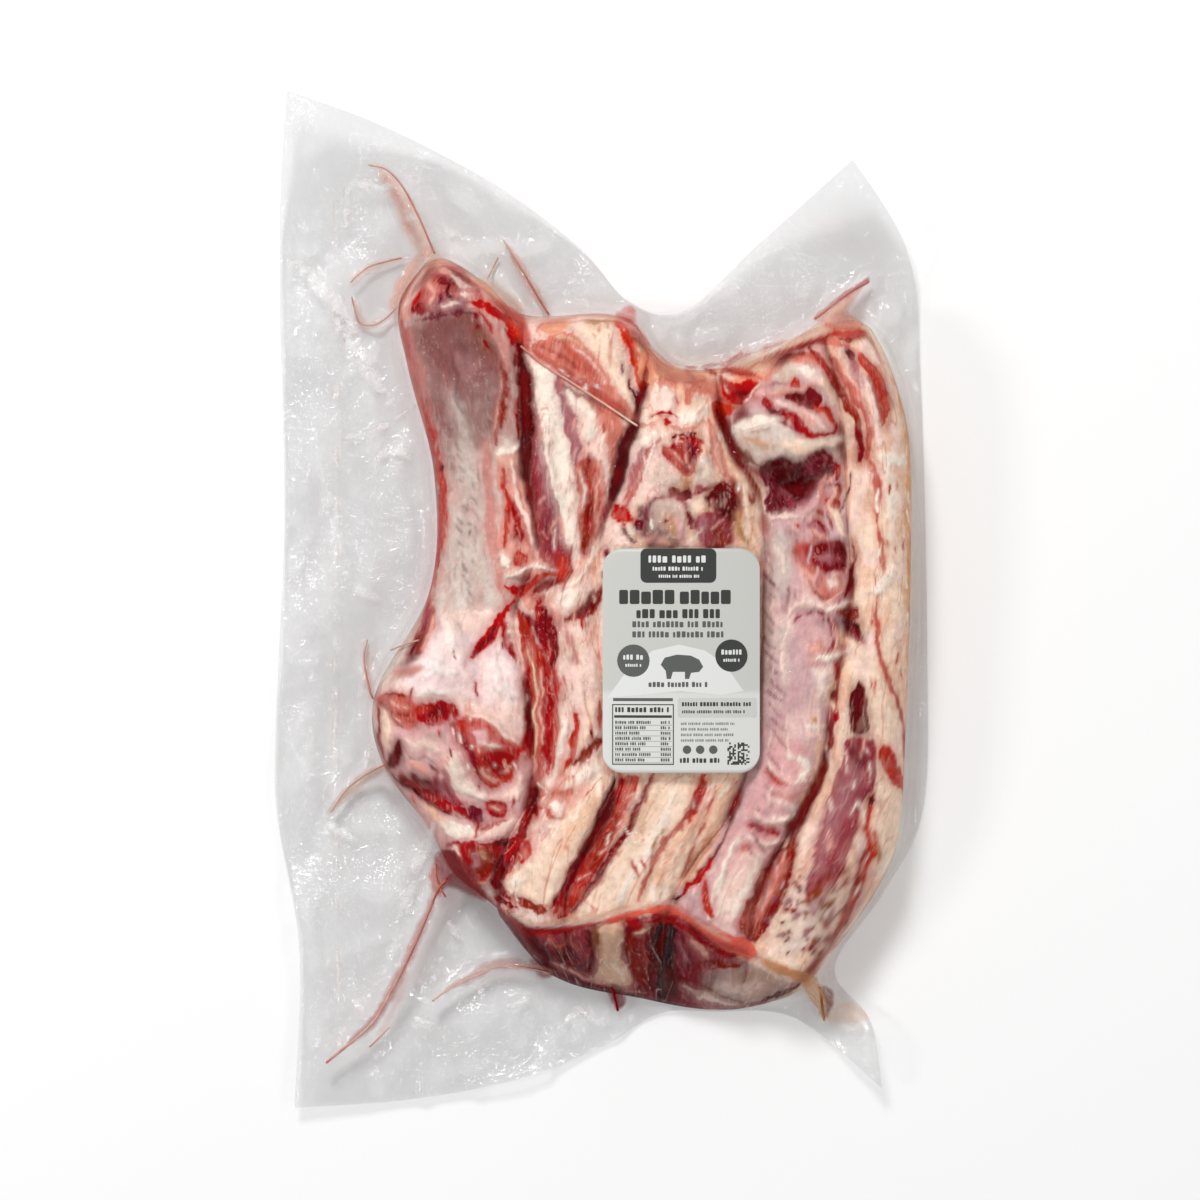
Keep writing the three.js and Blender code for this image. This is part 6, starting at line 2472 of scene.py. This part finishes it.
@dataclass
class PackLabel:
    """The rounded data label that lies bent over the strips under it, and its print.

    Attributes:
        shape: The pack's sizes.
        thickness: The label's thickness in millimetres.
        columns, rows: Cells of its face.
        grounds: The colours of its upper and its lower part.
        join: Where the one gives way to the other, in steps down the layout sheet.
    """

    shape: PackShape
    thickness: float = 0.35
    columns: int = 48
    rows: int = 60
    grounds: tuple[str, str] = ("#cfcfca", "#e1e2dd")
    join: tuple[float, float] = (688, 694)

    def grid(self, rise: float) -> np.ndarray:
        """The points of the label's face, some millimetres over its place.

        Args:
            rise: How many millimetres.

        Returns:
            The points, row by row.
        """
        width, height, corner = self.shape.label_size
        (cx, cy), (u, v) = self.shape.label_middle, np.meshgrid(np.linspace(0, 1, self.columns + 1),
                                                                np.linspace(0, 1, self.rows + 1))
        x = -np.cos(u.ravel() * np.pi) * width / 2
        past = np.maximum(0, np.abs(x) - (width / 2 - corner))
        reach = height / 2 - corner + np.sqrt(np.maximum(0, corner**2 - past**2))
        y = cy + (2 * v.ravel() - 1) * reach
        edge = smooth(-4.0, 0.0, self.shape.label_distance(cx + x, y))
        return np.column_stack((cx + x, y, self.shape.label_top(cx + x) + rise - 0.08 * edge))

    def sheet(self, finish: bpy.types.Material) -> bpy.types.Object:
        """Makes the label's sheet as a thin closed mesh.

        Args:
            finish: Its material.

        Returns:
            The sheet's object.
        """
        face, back = self.grid(0.0), self.grid(-self.thickness)
        rim = grid_rim(self.columns, self.rows)
        start = len(face)
        wall = np.stack((rim, rim + start, np.roll(rim, -1) + start, np.roll(rim, -1)), axis=-1)
        faces = np.vstack((grid_faces(self.columns, self.rows),
                           grid_faces(self.columns, self.rows, start)[:, ::-1], wall))
        piece = make_piece("label_sheet", np.vstack((face, back)), faces.tolist(), finish)
        upper, lower = (np.array(linear(code)[:3]) for code in self.grounds)
        share = smooth(*self.join, MIDDLE[1] - face[:, 1] / STEP)[:, None]
        paint = upper * (1 - share) + lower * share
        set_colours(piece, "Sheet", np.vstack((paint, paint)))
        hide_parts("label")
        return piece

    def artwork(self) -> Print:
        """Lays out the print.

        Returns:
            The print.
        """
        p = Print(self.shape)
        p.bar(Ink.CARBON, 640, 549, 715, 583, 6)
        p.words(Ink.CHALK, 648, 556, 706, 563, 1, 2)
        p.words(Ink.CHALK, 652, 567, 702, 571, 2, 2)
        p.words(Ink.CHALK, 658, 575, 698, 578, 3, 2)
        p.words(Ink.CARBON, 619, 590, 737, 604, 4, 1, 0.62, 0.12)
        p.words(Ink.CARBON, 636, 609, 719, 618, 5, 1, 0.55, 0.16)
        p.words(Ink.SLATE, 632, 621, 722, 627, 6)
        p.words(Ink.SLATE, 632, 631, 722, 637, 7)
        p.add(Ink.CHALK, [(607, 697), (628, 668), (652, 650), (678, 644), (704, 650), (724, 664), (742, 690),
                          (720, 694), (678, 690), (640, 694)][::-1])
        p.disc(Ink.SLATE, 633, 660, 16, 2)
        p.disc(Ink.CARBON, 730, 655, 16, 2)
        for k, (x, y) in enumerate(((633, 660), (730, 655))):
            p.words(Ink.CHALK, x - 10, y - 6, x + 10, y - 1, 20 + k, 3)
            p.words(Ink.CHALK, x - 8, y + 3, x + 8, y + 6, 24 + k, 3)
        body = [(660, 664), (664, 657), (676, 654), (690, 655), (698, 659), (702, 666), (698, 671), (690, 672),
                (688, 678), (684, 678), (684, 671), (672, 671), (670, 678), (666, 678), (665, 670)]
        p.add(Ink.SLATE, body[::-1], 2)
        p.words(Ink.SLATE, 648, 681, 706, 686, 8, 2)
        p.bar(Ink.SLATE, 613, 697, 672, 700, 0)
        self.table(p)
        p.bar(Ink.ASH, 677, 697, 755, 716, 2)
        p.words(Ink.CARBON, 681, 701, 750, 705, 9, 2)
        p.words(Ink.SLATE, 681, 709, 744, 712, 10, 2)
        for row in range(4):
            p.words(Ink.STONE, 680, 721 + 5.5 * row, 733 - 6 * (row % 2), 723.6 + 5.5 * row, 30 + row)
        for k in range(3):
            p.disc(Ink.SLATE, 686 + 13 * k, 748, 4.2)
        p.words(Ink.CARBON, 679, 756, 718, 761, 11)
        self.cells(p)
        return p

    @staticmethod
    def table(p: Print) -> None:
        """A plain table of figures: a frame, a thick rule and rows of bars.

        Args:
            p: The print that it goes on.
        """
        for side in ((612, 703, 613, 763), (672, 703, 673, 763), (612, 703, 673, 704), (612, 762, 673, 763)):
            p.bar(Ink.CARBON, *side)
        p.words(Ink.CARBON, 615, 706, 668, 711, 12)
        p.bar(Ink.CARBON, 614, 714, 671, 716.5)
        for row in range(8):
            y = 719.5 + 5.3 * row
            p.words(Ink.SLATE, 615, y, 650 - 5 * (row % 3), y + 3.0, 40 + row)
            p.words(Ink.SLATE, 660, y, 670, y + 3.0, 50 + row)
            p.bar(Ink.STONE, 614, y + 4.1, 671, y + 4.5)

    @staticmethod
    def cells(p: Print) -> None:
        """A square of random cells, which stands for a printed code and holds none.

        Args:
            p: The print that it goes on.
        """
        rng = np.random.default_rng(SEED + 90)
        side = 22 / 13
        for row in range(13):
            for column in range(13):
                if rng.random() < 0.52:
                    x, y = 726 + column * side, 741 + row * side
                    p.bar(Ink.CARBON, x, y, x + side, y + side)

    def build(self) -> list[bpy.types.Object]:
        """Makes the sheet and its print."""
        finish = Plain("coated_label_paper", "#cfd0cc", 0.42, 1.2, "Sheet").build()
        inks = {ink: Plain(f"label_ink_{ink.name.lower()}", ink.value, 0.38, 1.2).build() for ink in Ink}
        return [self.sheet(finish)] + self.artwork().build(inks)


# ---------------------------------------------------------------- studio


@dataclass
class Studio:
    """A pale table, soft light and a camera straight above.

    Attributes:
        frame_mm: Width of what the camera sees.
        middle_mm: What the middle of the view looks at.
        distance: The camera's height over the meat in metres.
        sensor: The width of the camera's sensor in millimetres.
        air: The brightness of the white room.
        lights: Each softbox's name, place and width in metres, and power in watts.
        table: Half the table's side, and how far it lies under the pack, in metres.
    """

    frame_mm: float = 540.0
    middle_mm: tuple[float, float, float] = (-0.675, 0.0, 24.0)
    distance: float = 2.5
    sensor: float = 36.0
    air: float = 0.36
    lights: tuple = (
        ("key_softbox", (-0.5, 1.4, 1.7), 0.5, 27.0),
        ("fill_softbox", (1.1, -0.6, 1.5), 0.5, 5.0),
        ("left_softbox", (-1.4, -0.3, 1.2), 0.35, 6.0),
    )
    table: tuple[float, float] = (4.0, 0.0003)

    def floor(self) -> bpy.types.Object:
        """Makes the table top, whose edges are out of view.

        Returns:
            The table top.
        """
        mesh = bpy.data.meshes.new("table_top")
        side, below = self.table
        corners = ((-side, -side), (side, -side), (side, side), (-side, side))
        mesh.from_pydata([(x, y, -below) for x, y in corners], [], [(0, 1, 2, 3)])
        mesh.materials.append(Plain("pale_table", "#fdfdfd", 0.75, 2.0, "", 0.07).build())
        made = bpy.data.objects.new("table_top", mesh)
        bpy.context.scene.collection.objects.link(made)
        return made

    def light(self, name: str, place: tuple[float, float, float], size: float, power: float) -> None:
        """Adds a square softbox that faces the pack.

        Args:
            name: Its name.
            place: Where it stands, in metres.
            size: Its width in metres.
            power: Its power in watts.
        """
        lamp = bpy.data.lights.new(name, "AREA")
        lamp.energy, lamp.size = power, size
        made = bpy.data.objects.new(name, lamp)
        made.location = place
        made.rotation_euler = (-made.location).to_track_quat("-Z", "Y").to_euler()
        bpy.context.scene.collection.objects.link(made)

    def build(self) -> None:
        """Makes the camera, the lights and the table."""
        scene = bpy.context.scene
        lens = bpy.data.cameras.new("camera")
        lens.sensor_width = self.sensor
        lens.lens = self.sensor * self.distance / (self.frame_mm * MM)
        lens.clip_end = 20.0
        camera = bpy.data.objects.new("camera", lens)
        x, y, z = self.middle_mm
        camera.location = (x * MM, y * MM, z * MM + self.distance)
        scene.collection.objects.link(camera)
        scene.camera = camera
        self.floor()
        for name, place, size, power in self.lights:
            self.light(name, place, size, power)
        world = bpy.data.worlds.new("studio_air")
        world.use_nodes = True
        world.node_tree.nodes.clear()
        air = add_node(world.node_tree, "ShaderNodeBackground", {"Color": linear("#ffffff"), "Strength": self.air})
        add_node(world.node_tree, "ShaderNodeOutputWorld", {}, {"Surface": air.outputs[0]})
        scene.world = world
        scene.view_settings.view_transform = "Standard"


# ---------------------------------------------------------------- assembly


def main() -> None:
    """Builds the pack and its studio."""
    logging.basicConfig(level=logging.INFO, format="%(message)s")
    Studio().build()
    shape = PackShape()
    meat = WetMeat().build()
    contents = Contents(shape)
    for piece in contents.build(meat):
        LOG.info("%s: %d points", piece.name, len(piece.data.vertices))
    heights = HeightMap(shape, contents)
    pouch = FilmPouch(shape, heights).build(ClearFilm().build())
    LOG.info("%s: %d points", pouch.name, len(pouch.data.vertices))
    for piece in JuiceThreads(heights, meat).build():
        LOG.info("%s: %d points", piece.name, len(piece.data.vertices))
    for piece in PackLabel(shape).build():
        LOG.info("%s: %d points", piece.name, len(piece.data.vertices))


if __name__ == "__main__":
    main()
